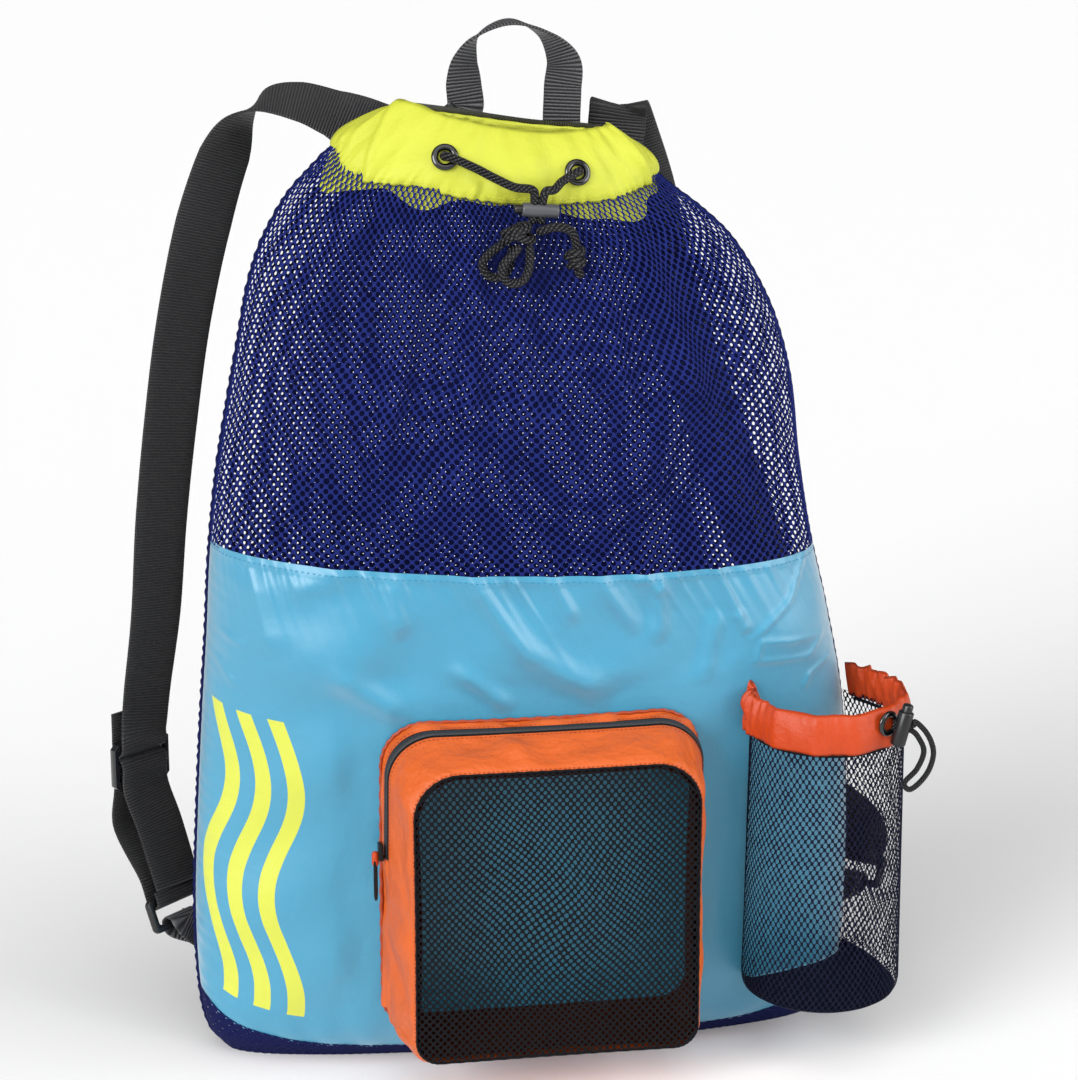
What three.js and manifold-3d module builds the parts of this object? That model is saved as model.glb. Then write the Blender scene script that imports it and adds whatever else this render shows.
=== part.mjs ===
// Mesh swim backpack: a sack of netting and nylon with a gathered drawstring collar, a zipped front
// pocket, an open side sleeve, a grab loop and two webbing shoulder straps, standing on its base.
// Millimetres, +Z up, front towards -Y, origin at the middle of the flat base.
import * as THREE from "three";
import { mergeVertices } from "three/addons/utils/BufferGeometryUtils.js";
import Module from "manifold-3d";

const wasm = await Module();
wasm.setup();

// Driving dimensions

const clothWall = 1.2;
const seamGap = 0.4;
const fullness = { sack: 0.85, rim: 1, from: 470, to: 590 };
const strapWide = 38;
const loopWide = 24;
const webbingThick = 1.8;
const cordDiameter = 5;
const sleeveCordDiameter = 3.6;

// sections of the filled sack: seams at left and right, depth of the front and back faces
const bagSections = [
  { z: 0, left: -196, right: 204, front: 34, back: 46 },
  { z: 14, left: -207, right: 216, front: 50, back: 54 },
  { z: 40, left: -213, right: 224, front: 61, back: 60 },
  { z: 100, left: -215, right: 227, front: 66, back: 64 },
  { z: 170, left: -211.5, right: 225.5, front: 71, back: 68 },
  { z: 235, left: -207, right: 220, front: 77, back: 71 },
  { z: 295, left: -202, right: 208, front: 82, back: 72 },
  { z: 345, left: -198.5, right: 196, front: 85, back: 72 },
  { z: 400, left: -192, right: 186.5, front: 84, back: 71 },
  { z: 450, left: -183, right: 180.5, front: 79, back: 68 },
  { z: 490, left: -175, right: 169.5, front: 72, back: 64 },
  { z: 520, left: -169, right: 155, front: 65, back: 59 },
  { z: 545, left: -161, right: 138, front: 58, back: 53 },
  { z: 563, left: -152, right: 119, front: 53, back: 48 },
  { z: 580, left: -141, right: 97, front: 49, back: 42 },
  { z: 595, left: -127, right: 82, front: 45, back: 38 },
  { z: 610, left: -112, right: 68, front: 41, back: 35 },
];

// edges that run across a face, by place: -1 at the left seam, 1 at the right seam
const rimEdge = [
  { place: -1, front: 607, back: 607 },
  { place: -0.85, front: 594, back: 604 },
  { place: -0.66, front: 589, back: 602 },
  { place: -0.39, front: 587, back: 599 },
  { place: -0.17, front: 580.5, back: 598 },
  { place: 0.13, front: 575.5, back: 595 },
  { place: 0.6, front: 575, back: 590 },
  { place: 0.86, front: 581, back: 587 },
  { place: 1, front: 585, back: 585 },
];
const collarTopEdge = [
  { place: -1, front: 631, back: 631 },
  { place: -0.9, front: 637.5, back: 629 },
  { place: -0.5, front: 628, back: 624 },
  { place: 0.27, front: 617.5, back: 615 },
  { place: 0.8, front: 618, back: 612 },
  { place: 0.92, front: 619, back: 611 },
  { place: 1, front: 611, back: 611 },
];
const panelBottomEdge = [
  { place: -1, z: 44 },
  { place: -0.94, z: 30 },
  { place: -0.86, z: 21 },
  { place: -0.7, z: 13 },
  { place: -0.5, z: 10 },
  { place: 0, z: 9 },
  { place: 0.7, z: 11 },
  { place: 0.9, z: 24 },
  { place: 1, z: 44 },
];
const panelTop = { middle: 349, tilt: -9, dip: 2 };

// folds of the netting where the collar draws it together
const gathers = { depth: 3.2, count: 11, second: 19, start: 16, reach: 95 };

// collar tunnel and its mouth
const mouth = { centre: -7, half: 73, front: 30, back: 20 };
const collar = { halfThick: 6.5, puff: 2.6, columns: 20, low: 0.014 };
const collarRows = [0.2, 0.5, 0.8];
const neckTape = { from: 3, to: 17, rows: [0.5, 0.82, 1, 1.14], clear: 0.5, thick: 1.4 };
const eyelet = { outer: 8.5, hole: 4.2, face: 1.7, barrel: 4.6, cut: 4.95, deep: 2.4, clear: 0.5 };
const sleeveEyelet = { turnDegrees: -59, z: 246.5, clear: 1.5 };
const eyeletPlaces = { left: { place: -0.355, up: 0.49 }, right: { place: 0.446, up: 0.46 } };

// barrel cord locks: one along X on the drawcord, one upright on the sleeve
const cordLock = { outer: 5.6, half: 11.5, travel: 4, proud: 5 };
const drawLockAt = { x: 6.8, y: -63.5, z: 574.4, tiltDegrees: 5 };
const sleeveLockAt = { x: 231.2, y: -118.7, z: 244.7, leanDegrees: 14 };

// front pocket
const pocket = {
  back: { left: -97, right: 109, low: 38, high: 250 },
  front: { left: -84, right: 102, low: 34, high: 233 },
  radiusTop: 30, radiusLow: 16, frontY: -124, wall: 1.4, lip: 3.5, crown: 4,
};
const pocketRows = [
  { depth: 0, swell: 0 },
  { depth: 0.2, swell: 1.5 },
  { depth: 0.35, swell: 2.5 },
  { depth: 0.92, swell: 0.6 },
  { depth: 1, swell: -2.2 },
];
const zipRow = 1;
const zipEnds = { left: 0.67, right: 0.67 };

// open sleeve at the lower right
const sleeve = {
  x: 195, y: -66, radiusLow: 52.5, radiusHigh: 50.5, low: 46, round: 9,
  seamX: 2.2, seamY: -1.6, columns: 18, wall: 1.2,
};
const sleeveEdge = [
  { along: 0, low: 238, high: 266 },
  { along: 0.1, low: 231, high: 258 },
  { along: 0.42, low: 228, high: 255 },
  { along: 0.66, low: 230, high: 257 },
  { along: 0.84, low: 229, high: 255 },
  { along: 1, low: 227, high: 252 },
];
const ruffles = { count: 9, deep: 1.5, halfThick: 3, columns: 36, from: 0.03, to: 0.985 };

// Small helpers

const place = (phi) => -Math.cos(phi);
const mix = (a, b, t) => a + (b - a) * t;
const vec = (x, y, z) => new THREE.Vector3(x, y, z);
const radians = THREE.MathUtils.degToRad;

// smooth value of one column of a table at the given key
function along(rows, key, column, at) {
  const last = rows.length - 1;
  let i = 0;
  while (i < last - 1 && at > rows[i + 1][key]) i += 1;
  const slope = (j) => {
    const before = rows[Math.max(j - 1, 0)];
    const after = rows[Math.min(j + 1, last)];
    return (after[column] - before[column]) / (after[key] - before[key]);
  };
  const span = rows[i + 1][key] - rows[i][key];
  const u = THREE.MathUtils.clamp((at - rows[i][key]) / span, 0, 1);
  const u2 = u * u;
  const u3 = u2 * u;
  return (2 * u3 - 3 * u2 + 1) * rows[i][column] + (3 * u2 - 2 * u3) * rows[i + 1][column]
    + (u3 - 2 * u2 + u) * span * slope(i) + (u3 - u2) * span * slope(i + 1);
}

// closed geometry from points and triangles, turned so that its faces point out
function solid(points, faces) {
  let volume = 0;
  for (const [a, b, c] of faces) volume += points[a].dot(points[b].clone().cross(points[c]));
  const geometry = new THREE.BufferGeometry();
  const flat = points.flatMap((p) => [p.x, p.y, p.z]);
  geometry.setAttribute("position", new THREE.Float32BufferAttribute(flat, 3));
  geometry.setIndex((volume < 0 ? faces.map(([a, b, c]) => [a, c, b]) : faces).flat());
  return geometry;
}

// a three.js geometry with shared points merged and empty triangles dropped
function closed(geometry) {
  const bare = geometry.index ? geometry : geometry.clone();
  bare.deleteAttribute("normal");
  bare.deleteAttribute("uv");
  const merged = mergeVertices(bare, 1e-4);
  const position = merged.attributes.position;
  const points = [];
  for (let i = 0; i < position.count; i += 1) {
    points.push(new THREE.Vector3().fromBufferAttribute(position, i));
  }
  const faces = [];
  for (let i = 0; i < merged.index.count; i += 3) {
    const [a, b, c] = [0, 1, 2].map((k) => merged.index.getX(i + k));
    if (a !== b && b !== c && c !== a) faces.push([a, b, c]);
  }
  return solid(points, faces);
}

// boolean cut of one closed geometry by others
function cut(body, ...tools) {
  const manifold = (geometry) => new wasm.Manifold(new wasm.Mesh({
    numProp: 3,
    vertProperties: new Float32Array(geometry.attributes.position.array),
    triVerts: new Uint32Array(geometry.index.array),
  }));
  let result = manifold(body);
  for (const tool of tools) result = result.subtract(manifold(tool));
  const mesh = result.getMesh();
  const geometry = new THREE.BufferGeometry();
  geometry.setAttribute("position", new THREE.Float32BufferAttribute(mesh.vertProperties, 3));
  geometry.setIndex(Array.from(mesh.triVerts));
  return geometry;
}

// open sheet of cloth that is given a wall on its inner side
class Sheet {
  constructor() {
    this.points = [];
    this.faces = [];
    this.known = new Map();
  }

  vertex(p) {
    const key = [p.x, p.y, p.z].map((c) => Math.round(c * 200)).join();
    if (!this.known.has(key)) {
      this.known.set(key, this.points.length);
      this.points.push(p);
    }
    return this.known.get(key);
  }

  triangle(a, b, c) {
    if (a !== b && b !== c && c !== a) this.faces.push([a, b, c]);
  }

  // cells of a grid whose points are at(column, row), apart from those that skip(column, row) leaves out
  grid(columns, rows, at, skip = () => false) {
    for (let i = 0; i < columns; i += 1) {
      for (let j = 0; j < rows; j += 1) {
        if (skip(i, j)) continue;
        const corners = [at(i, j), at(i + 1, j), at(i + 1, j + 1), at(i, j + 1)];
        const [a, b, c, d] = corners.map((p) => this.vertex(p));
        this.triangle(a, b, c);
        this.triangle(a, c, d);
      }
    }
    return this;
  }

  wall(thickness) {
    const normals = this.points.map(() => vec(0, 0, 0));
    for (const face of this.faces) {
      const [a, b, c] = face.map((i) => this.points[i]);
      const n = b.clone().sub(a).cross(c.clone().sub(a));
      for (const i of face) normals[i].add(n);
    }
    const count = this.points.length;
    const inner = this.points.map((p, i) => p.clone().addScaledVector(normals[i].normalize(), -thickness));
    const edges = new Set();
    for (const [a, b, c] of this.faces) {
      for (const [p, q] of [[a, b], [b, c], [c, a]]) edges.add(`${p},${q}`);
    }
    const faces = [...this.faces];
    for (const [a, b, c] of this.faces) {
      faces.push([c + count, b + count, a + count]);
      for (const [p, q] of [[a, b], [b, c], [c, a]]) {
        if (edges.has(`${q},${p}`)) continue;
        faces.push([q, p, p + count], [q, p + count, q + count]);
      }
    }
    return solid([...this.points, ...inner], faces);
  }
}

// round tube through points, with flat ends
function tube(points, diameter, sides, steps) {
  const corners = [];
  for (let i = 0; i < sides; i += 1) {
    const turn = (2 * Math.PI * i) / sides;
    corners.push(new THREE.Vector2(Math.cos(turn), Math.sin(turn)).multiplyScalar(diameter / 2));
  }
  const path = new THREE.CatmullRomCurve3(points, false, "centripetal");
  const shape = new THREE.Shape(corners);
  return closed(new THREE.ExtrudeGeometry(shape, { steps, extrudePath: path }));
}

// flat strap along rows of a centre point and the direction of the width
function ribbon(rows, width, thickness, stepsPerRow = 2) {
  const path = new THREE.CatmullRomCurve3(rows.map((row) => row.at), false, "centripetal");
  const steps = (rows.length - 1) * stepsPerRow;
  const points = [];
  const faces = [];
  for (let i = 0; i <= steps; i += 1) {
    const u = i / steps;
    const k = Math.min(Math.floor(u * (rows.length - 1)), rows.length - 2);
    const tangent = path.getTangent(u);
    const across = rows[k].wide.clone().lerp(rows[k + 1].wide, u * (rows.length - 1) - k);
    across.addScaledVector(tangent, -across.dot(tangent)).normalize();
    const normal = tangent.clone().cross(across);
    const centre = path.getPoint(u);
    for (const [s, n] of [[-1, -1], [1, -1], [1, 1], [-1, 1]]) {
      const corner = centre.clone().addScaledVector(across, (s * width) / 2);
      points.push(corner.addScaledVector(normal, (n * thickness) / 2));
    }
  }
  for (let i = 0; i < steps; i += 1) {
    for (let k = 0; k < 4; k += 1) {
      const [a, b] = [4 * i + k, 4 * i + ((k + 1) % 4)];
      faces.push([a, b, b + 4], [a, b + 4, a + 4]);
    }
  }
  const end = 4 * steps;
  faces.push([2, 1, 0], [3, 2, 0], [end, end + 1, end + 2], [end, end + 2, end + 3]);
  return solid(points, faces);
}

// strap row from a table row: width direction by its heading in plan and its pitch
function strapRow({ x, y, z, heading, pitch = 0 }) {
  const [a, p] = [radians(heading), radians(pitch)];
  return { at: vec(x, y, z), wide: vec(Math.cos(a) * Math.cos(p), Math.sin(a) * Math.cos(p), Math.sin(p)) };
}

// rows of a half turn round a bar, from the start direction through the far direction
function turnRows(bar, start, far, radius, wide) {
  return [0, 45, 90, 135, 180].map((degrees) => ({
    at: bar.clone()
      .addScaledVector(start, radius * Math.cos(radians(degrees)))
      .addScaledVector(far, radius * Math.sin(radians(degrees))),
    wide,
  }));
}

const bag = new THREE.Group();

function add(name, geometry, finish, parent = bag) {
  const mesh = new THREE.Mesh(geometry, finish);
  mesh.name = name;
  parent.add(mesh);
  return mesh;
}

function finish(color, roughness, metalness = 0) {
  return new THREE.MeshStandardMaterial({ color, roughness, metalness });
}
const navyNet = finish(0x1b2560, 0.8);
const blueNet = finish(0x2b3f9b, 0.75);
const blackNet = finish(0x15161c, 0.8);
const blueNylon = finish(0x6db9d5, 0.45);
const yellowNylon = finish(0xedf44f, 0.6);
const orangeNylon = finish(0xf07f3c, 0.5);
const webbing = finish(0x2e2e30, 0.8);
const braid = finish(0x2c2c2e, 0.85);
const blackMetal = finish(0x101012, 0.25, 0.6);
const zipTape = finish(0x3a3a3d, 0.6);
const greyPlastic = finish(0x77787c, 0.45);
const darkPlastic = finish(0x232326, 0.45);

// The sack

function fullnessAt(z) {
  return mix(fullness.sack, fullness.rim, THREE.MathUtils.smoothstep(z, fullness.from, fullness.to));
}
const rimHeight = (face, at) => along(rimEdge, "place", face < 0 ? "front" : "back", at);
const panelTopHeight = (at) => panelTop.middle + panelTop.tilt * at - panelTop.dip * (1 - at * at);
const panelBottomHeight = (at) => along(panelBottomEdge, "place", "z", at);

// point of the outer surface: face -1 is the front and 1 the back, phi runs from the left seam to the right
function bagPoint(face, phi, z) {
  const left = along(bagSections, "z", "left", z);
  const right = along(bagSections, "z", "right", z);
  const depth = along(bagSections, "z", face < 0 ? "front" : "back", z);
  const round = Math.max(Math.sin(phi), 0);
  const p = vec(mix(left, right, (1 + place(phi)) / 2), face * depth * round ** fullnessAt(z), z);
  const drop = rimHeight(face, place(phi)) - z;
  const below = Math.max(drop, 0);
  const fade = Math.min(below / gathers.start, 1) * Math.exp(-below / gathers.reach);
  const wave = 0.6 * Math.sin(gathers.count * phi + face) + 0.4 * Math.sin(gathers.second * phi - face);
  const outward = vec(place(phi) * depth, face * round * (right - left) / 2, 0).normalize();
  return p.addScaledVector(outward, gathers.depth * fade * wave * round);
}

// depth of the front face under a point of the pocket or the sleeve
function frontY(x, z) {
  const left = along(bagSections, "z", "left", z);
  const right = along(bagSections, "z", "right", z);
  const at = THREE.MathUtils.clamp((2 * x - left - right) / (right - left), -1, 1);
  return -along(bagSections, "z", "front", z) * Math.sqrt(1 - at * at) ** fullnessAt(z);
}

// sheet over a face, with its rows at the given levels between its lower and upper edge
function faceSheet(face, columns, levels, edge, low, high) {
  return new Sheet().grid(columns, levels.length - 1, (i, j) => {
    const phi = mix(edge, Math.PI - edge, i / columns);
    return bagPoint(face, phi, mix(low(place(phi)), high(place(phi)), levels[j]));
  });
}

const bagColumns = 24;
const frontEdge = 0.012;
const netLevels = [0, 0.17, 0.33, 0.5, 0.67, 0.83, 1];
const panelLevels = [0, 0.1, 0.32, 0.64, 1];
add("front_net", faceSheet(-1, bagColumns, netLevels, frontEdge,
  (at) => panelTopHeight(at) + seamGap, (at) => rimHeight(-1, at)).wall(clothWall), blueNet);
add("front_panel", faceSheet(-1, bagColumns, panelLevels, frontEdge,
  (at) => panelBottomHeight(at) + 1.5 * seamGap, panelTopHeight).wall(clothWall), blueNylon);

// the back face goes on under the base and up to the lower edge of the front panel
function backNet() {
  const [columns, lowRows, highRows, baseRows] = [bagColumns, 2, 7, 1];
  const phiAt = (i) => (Math.PI * i) / columns;
  const joinHeight = (at) => mix(panelBottomHeight(-1), panelBottomHeight(1), (1 + at) / 2);
  const sheet = new Sheet();
  sheet.grid(columns, lowRows, (i, j) => {
    return bagPoint(-1, phiAt(i), panelBottomHeight(place(phiAt(i))) * (j / lowRows));
  });
  sheet.grid(columns, lowRows, (i, j) => {
    return bagPoint(1, phiAt(columns - i), joinHeight(place(phiAt(columns - i))) * (j / lowRows));
  });
  sheet.grid(columns, highRows, (i, j) => {
    const phi = phiAt(columns - i);
    return bagPoint(1, phi, mix(joinHeight(place(phi)), rimHeight(1, place(phi)), j / highRows));
  });
  sheet.grid(columns, baseRows, (i, j) => {
    return bagPoint(1, phiAt(i), 0).lerp(bagPoint(-1, phiAt(i), 0), j / baseRows);
  });
  return sheet.wall(clothWall);
}
add("back_net", backNet(), navyNet);

// Collar, eyelets and neck tape

const hump = (up) => Math.max(Math.sin(Math.PI * THREE.MathUtils.clamp(up, 0, 1)), 0);
const lens = (up) => collar.halfThick * hump(up) ** 0.6;

// point of the collar: up runs from the rim of the netting to the mouth, out is the offset from its middle
function collarPoint(face, phi, up, out) {
  const at = place(phi);
  const round = Math.max(Math.sin(phi), 0);
  const low = bagPoint(face, phi, rimHeight(face, at));
  const depth = face < 0 ? mouth.front : mouth.back;
  const top = along(collarTopEdge, "place", face < 0 ? "front" : "back", at);
  const high = vec(mouth.centre + mouth.half * at, face * depth * round, top);
  const outward = vec(at * depth, face * round * mouth.half, 0).normalize();
  return low.lerp(high, up).addScaledVector(outward, out + collar.puff * hump(up));
}

// ring of one closed section, given as places up the collar and sides of its middle layer
function collarRing(section, thickness) {
  const count = 2 * collar.columns;
  const points = [];
  const faces = [];
  for (let i = 0; i < count; i += 1) {
    const face = i < collar.columns ? -1 : 1;
    const phi = Math.PI * (face < 0 ? i / collar.columns : 2 - i / collar.columns);
    for (const { up, side } of section) points.push(collarPoint(face, phi, up, side * thickness(up)));
  }
  const n = section.length;
  for (let i = 0; i < count; i += 1) {
    for (let k = 0; k < n; k += 1) {
      const [a, b] = [n * i + k, n * i + ((k + 1) % n)];
      const [c, d] = [n * ((i + 1) % count) + ((k + 1) % n), n * ((i + 1) % count) + k];
      faces.push([a, b, c], [a, c, d]);
    }
  }
  return solid(points, faces);
}

const section = (low, steps, high) => [
  { up: low, side: 0 }, ...steps.map((up) => ({ up, side: 1 })),
  { up: high, side: 0 }, ...steps.toReversed().map((up) => ({ up, side: -1 })),
];

// frame on the outer side of the collar: its place and its outward direction
function collarFrame({ place: at, up }) {
  const phi = Math.acos(-at);
  const step = 0.02;
  const point = (p, u) => collarPoint(-1, p, u, lens(u));
  const across = point(phi + step, up).sub(point(phi - step, up));
  const rise = point(phi, up + step).sub(point(phi, up - step));
  return { at: point(phi, up), normal: across.cross(rise).normalize() };
}

function eyeletGeometry(deep) {
  const { outer, hole, face, barrel } = eyelet;
  const rim = [[outer, 0], [outer, 0.45 * face], [outer - 1.4, face], [hole + 1, face], [hole, 0.5 * face]];
  const foot = deep > 0 ? [[hole, -deep], [barrel, -deep], [barrel, 0]] : [[hole, 0]];
  const profile = [...foot, ...rim, foot[0]];
  return closed(new THREE.LatheGeometry(profile.map(([r, h]) => new THREE.Vector2(r, h)), 12));
}

const upAxis = vec(0, 1, 0);
const eyeletFrames = { left: collarFrame(eyeletPlaces.left), right: collarFrame(eyeletPlaces.right) };

function eyeletCut({ at, normal }) {
  const tool = new THREE.CylinderGeometry(eyelet.cut, eyelet.cut, 7, 20);
  tool.applyQuaternion(new THREE.Quaternion().setFromUnitVectors(upAxis, normal));
  const middle = at.clone().addScaledVector(normal, -0.5);
  return closed(tool.translate(middle.x, middle.y, middle.z));
}

const collarOuter = collarRing(section(collar.low, collarRows, 1), lens);
const collarInner = collarRing(section(0.12, [0.37, 0.63], 0.88), (up) => lens(up) - clothWall);
const eyeletCuts = [eyeletCut(eyeletFrames.left), eyeletCut(eyeletFrames.right)];
add("collar", cut(collarOuter, collarInner, ...eyeletCuts), yellowNylon);
for (const [side, { at, normal }] of Object.entries(eyeletFrames)) {
  const ring = add(`eyelet_${side}`, eyeletGeometry(eyelet.deep), blackMetal);
  ring.quaternion.setFromUnitVectors(upAxis, normal);
  ring.position.copy(at).addScaledVector(normal, eyelet.clear);
}

// the tape lies on the slope of the collar, so its thickness takes more room sideways
const tapeSide = 2.4;
const tapeOut = (up) => lens(up) + neckTape.clear + tapeSide * neckTape.thick;
add("neck_tape", new Sheet().grid(neckTape.to - neckTape.from, neckTape.rows.length - 1, (i, j) => {
  const up = neckTape.rows[j];
  return collarPoint(1, (Math.PI * (neckTape.to - i)) / collar.columns, up, lens(up) + neckTape.clear);
}).wall(-neckTape.thick), webbing);

// Barrel cord locks

// body and button lie along X, with the button at the -X end, and cords pass along Z
function lockParts(cordSize) {
  const { outer, half, travel, proud } = cordLock;
  const bore = outer - 1.2;
  const stem = bore - 0.35;
  const floor = half - 1.2;
  const stemEnd = floor - travel - 0.35;
  const slotMiddle = -1.5;
  const slotHalf = cordSize + 0.6;
  const slotWide = cordSize + 0.8;
  const along = (profile) => {
    const points = profile.map(([r, a]) => new THREE.Vector2(r, a));
    return closed(new THREE.LatheGeometry(points, 12).rotateZ(-Math.PI / 2));
  };
  const slot = (from, to) => {
    return closed(new THREE.BoxGeometry(to - from, slotWide, 40).translate((from + to) / 2, 0, 0));
  };
  const body = along([
    [0, half], [outer - 1.2, half], [outer, half - 1.2], [outer, 0.8 - half], [outer - 0.6, -half],
    [bore, -half], [bore, floor], [0, floor],
  ]);
  const button = along([
    [0, -half - proud], [stem - 0.8, -half - proud], [stem, 0.8 - half - proud],
    [stem, stemEnd], [0, stemEnd],
  ]);
  return {
    body: cut(body, slot(slotMiddle - slotHalf, slotMiddle + slotHalf)),
    button: cut(button, slot(slotMiddle - slotHalf - travel, slotMiddle + slotHalf)),
    cordAt: [slotMiddle - cordSize / 2 - 0.15, slotMiddle + cordSize / 2 + 0.15],
  };
}

function addLock(prefix, cordSize, finishes, at, turn) {
  const parts = lockParts(cordSize);
  const group = new THREE.Group();
  group.position.set(at.x, at.y, at.z);
  group.rotation.set(...turn);
  bag.add(group);
  add(`${prefix}_body`, parts.body, finishes[0], group);
  add(`${prefix}_button`, parts.button, finishes[1], group);
  group.updateMatrixWorld(true);
  return parts.cordAt.map((a) => (x, y, z) => group.localToWorld(vec(a + x, y, z)));
}

const drawLock = addLock("cord_lock", cordDiameter, [greyPlastic, darkPlastic], drawLockAt,
  [0, radians(drawLockAt.tiltDegrees), 0]);

// Drawcord

// hidden run through the tunnel, from one eyelet round the back to the other
function channelPoints() {
  const points = [];
  const from = Math.acos(-(eyeletPlaces.left.place - 0.09));
  const to = Math.acos(-(eyeletPlaces.right.place + 0.09));
  const run = (face, phi) => points.push(collarPoint(face, phi, 0.5, -0.25 * place(phi) ** 8));
  for (let i = 0; i <= 6; i += 1) run(-1, mix(from, 0.12, i / 6));
  for (let i = 0; i <= 24; i += 1) run(1, mix(0, Math.PI, i / 24));
  for (let i = 0; i <= 6; i += 1) run(-1, mix(Math.PI - 0.12, to, i / 6));
  return points;
}
add("cord_channel", tube(channelPoints(), cordDiameter, 8, 36), braid);

function eyeletExit({ at, normal }, out) {
  return at.clone().addScaledVector(normal, out);
}

// each lead comes out of its eyelet, bends down and goes through the lock to the knot
const leadRoutes = {
  left: [[-33, -54.5, 600.5], [-20, -60, 594], [-9, -62.5, 589]],
  right: [[21.5, -56, 590.5], [15.5, -61.5, 586.5]],
};
for (const [k, side] of ["left", "right"].entries()) {
  const frame = eyeletFrames[side];
  const inside = [eyeletExit(frame, -1.2), eyeletExit(frame, 4.5)];
  const free = leadRoutes[side].map((p) => vec(...p));
  const spread = [-1.4, 1.4][k];
  const through = [[spread, 12], [0, 7], [0, -9.1]].map(([x, z]) => drawLock[k](x, 0, z));
  add(`cord_${side}`, tube([...inside, ...free, ...through], cordDiameter, 8, 11), braid);
}

// bow knot below the lock, with two loops, and an arch to a knotted end
const knotAt = vec(-7.5, -65.5, 560.8);
const knotSize = vec(11, 6.6, 6.2);
function lump(at, size) {
  return closed(new THREE.SphereGeometry(1, 10, 6).scale(size.x, size.y, size.z)
    .translate(at.x, at.y, at.z));
}
add("cord_knot", lump(knotAt, knotSize), braid);

// each loop leaves the knot, hangs to the left and comes back beside its start
const loopRoutes = {
  left: [
    [-16.2, -66.3, 555.2], [-23.5, -66.2, 550.5], [-29.4, -66.4, 543.5], [-26.6, -66.8, 536],
    [-20, -67, 534.2], [-14.2, -67, 538.6], [-12, -66.8, 546], [-10.7, -66.5, 554],
  ],
  right: [
    [-6.8, -70.2, 554.5], [-11.6, -73.2, 549.5], [-17.4, -74.4, 543.8], [-18.6, -74.6, 537],
    [-13.4, -74.4, 531.8], [-6.4, -74.2, 532.8], [-2.4, -73.6, 539], [-1, -72.2, 547], [-1.3, -70.2, 554.8],
  ],
};
for (const [side, route] of Object.entries(loopRoutes)) {
  add(`cord_loop_${side}`, tube(route.map((p) => vec(...p)), cordDiameter, 8, 11), braid);
}
const archRoute = [
  [3.95, -66.9, 560.9], [8.2, -69.6, 563.4], [16, -70.6, 565], [25, -70, 562], [28, -69.7, 553.3],
];
add("cord_arch", tube(archRoute.map((p) => vec(...p)), cordDiameter, 8, 6), braid);
add("cord_end_knot", lump(vec(27.4, -70, 545.6), vec(5.6, 5.6, 7)), braid);
add("cord_tail", tube([vec(29, -70.6, 538.4), vec(31.6, -71.2, 533)], cordDiameter, 8, 2), braid);

// Webbing

// direction out of the back of the collar tape at a place, and a point just behind it
function behindTape(at, up, out) {
  return collarPoint(1, Math.acos(-at), up, tapeOut(up) + out);
}
const sewn = tapeSide * (webbingThick / 2 + 1.9);

const loopFeet = { left: -0.31, right: 0.55 };
const loopCrown = [
  { x: -28, y: 27, z: 641, heading: 14 },
  { x: -27, y: 27, z: 655, heading: 40 },
  { x: -19.5, y: 27, z: 669.5, heading: 72 },
  { x: 2, y: 27, z: 678.5, heading: 90 },
  { x: 24, y: 27, z: 670, heading: 112 },
  { x: 36, y: 27, z: 653, heading: 148 },
  { x: 35.5, y: 27, z: 636, heading: 172 },
];
function footRows(at, sign) {
  return neckTape.rows.map((up) => {
    const wide = behindTape(at + 0.1, up, 0).sub(behindTape(at - 0.1, up, 0)).setLength(sign);
    return { at: behindTape(at, up, sewn), wide };
  });
}
add("grab_loop", ribbon([
  ...footRows(loopFeet.left, 1),
  ...loopCrown.map(strapRow),
  ...footRows(loopFeet.right, -1).toReversed(),
], loopWide, webbingThick, 2), webbing);

// shoulder straps from the tape to the bar of the ladder lock
const strapRoutes = {
  left: [
    { x: -70, y: 40, z: 604, heading: 0, pitch: 68 },
    { x: -88, y: 41, z: 611, heading: 20, pitch: 62 },
    { x: -110, y: 44, z: 621, heading: 72, pitch: 42 },
    { x: -131, y: 47, z: 628.5, heading: 84, pitch: 32 },
    { x: -152, y: 51, z: 629, heading: 76, pitch: 16 },
    { x: -168, y: 54, z: 616, heading: 50, pitch: 0 },
    { x: -178.5, y: 55, z: 594, heading: 26, pitch: -12 },
    { x: -193, y: 55, z: 551, heading: 16, pitch: -14 },
    { x: -208, y: 53, z: 487, heading: 20, pitch: -10 },
    { x: -218.5, y: 51, z: 422, heading: 22, pitch: -8 },
    { x: -227, y: 49, z: 356, heading: 25, pitch: -6 },
    { x: -233, y: 47, z: 291, heading: 29, pitch: -5 },
    { x: -241, y: 46, z: 236, heading: 34, pitch: -5 },
  ],
  right: [
    { x: 68, y: 37.5, z: 582, heading: 0, pitch: -4 },
    { x: 72.5, y: 40.5, z: 604, heading: 0, pitch: -10 },
    { x: 74, y: 42.5, z: 616, heading: 0, pitch: -10 },
    { x: 75.5, y: 46.3, z: 621, heading: -4, pitch: -8 },
    { x: 78, y: 49.2, z: 616, heading: -4, pitch: -6 },
    { x: 84, y: 50.6, z: 600, heading: 0, pitch: 4 },
    { x: 96, y: 55, z: 565, heading: 0, pitch: 10 },
    { x: 107, y: 64, z: 520, heading: -3, pitch: 12 },
    { x: 124, y: 70, z: 465, heading: -5, pitch: 14 },
    { x: 146, y: 71, z: 405, heading: -8, pitch: 16 },
    { x: 167, y: 68, z: 345, heading: -12, pitch: 15 },
    { x: 184, y: 62, z: 291, heading: -15, pitch: 14 },
    { x: 196, y: 59, z: 236, heading: -18, pitch: 10 },
  ],
};
const lockPlaces = {
  left: { x: -247, y: 46, z: 190, heading: 38 },
  right: { x: 204, y: 58, z: 190, heading: -18 },
};
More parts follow.
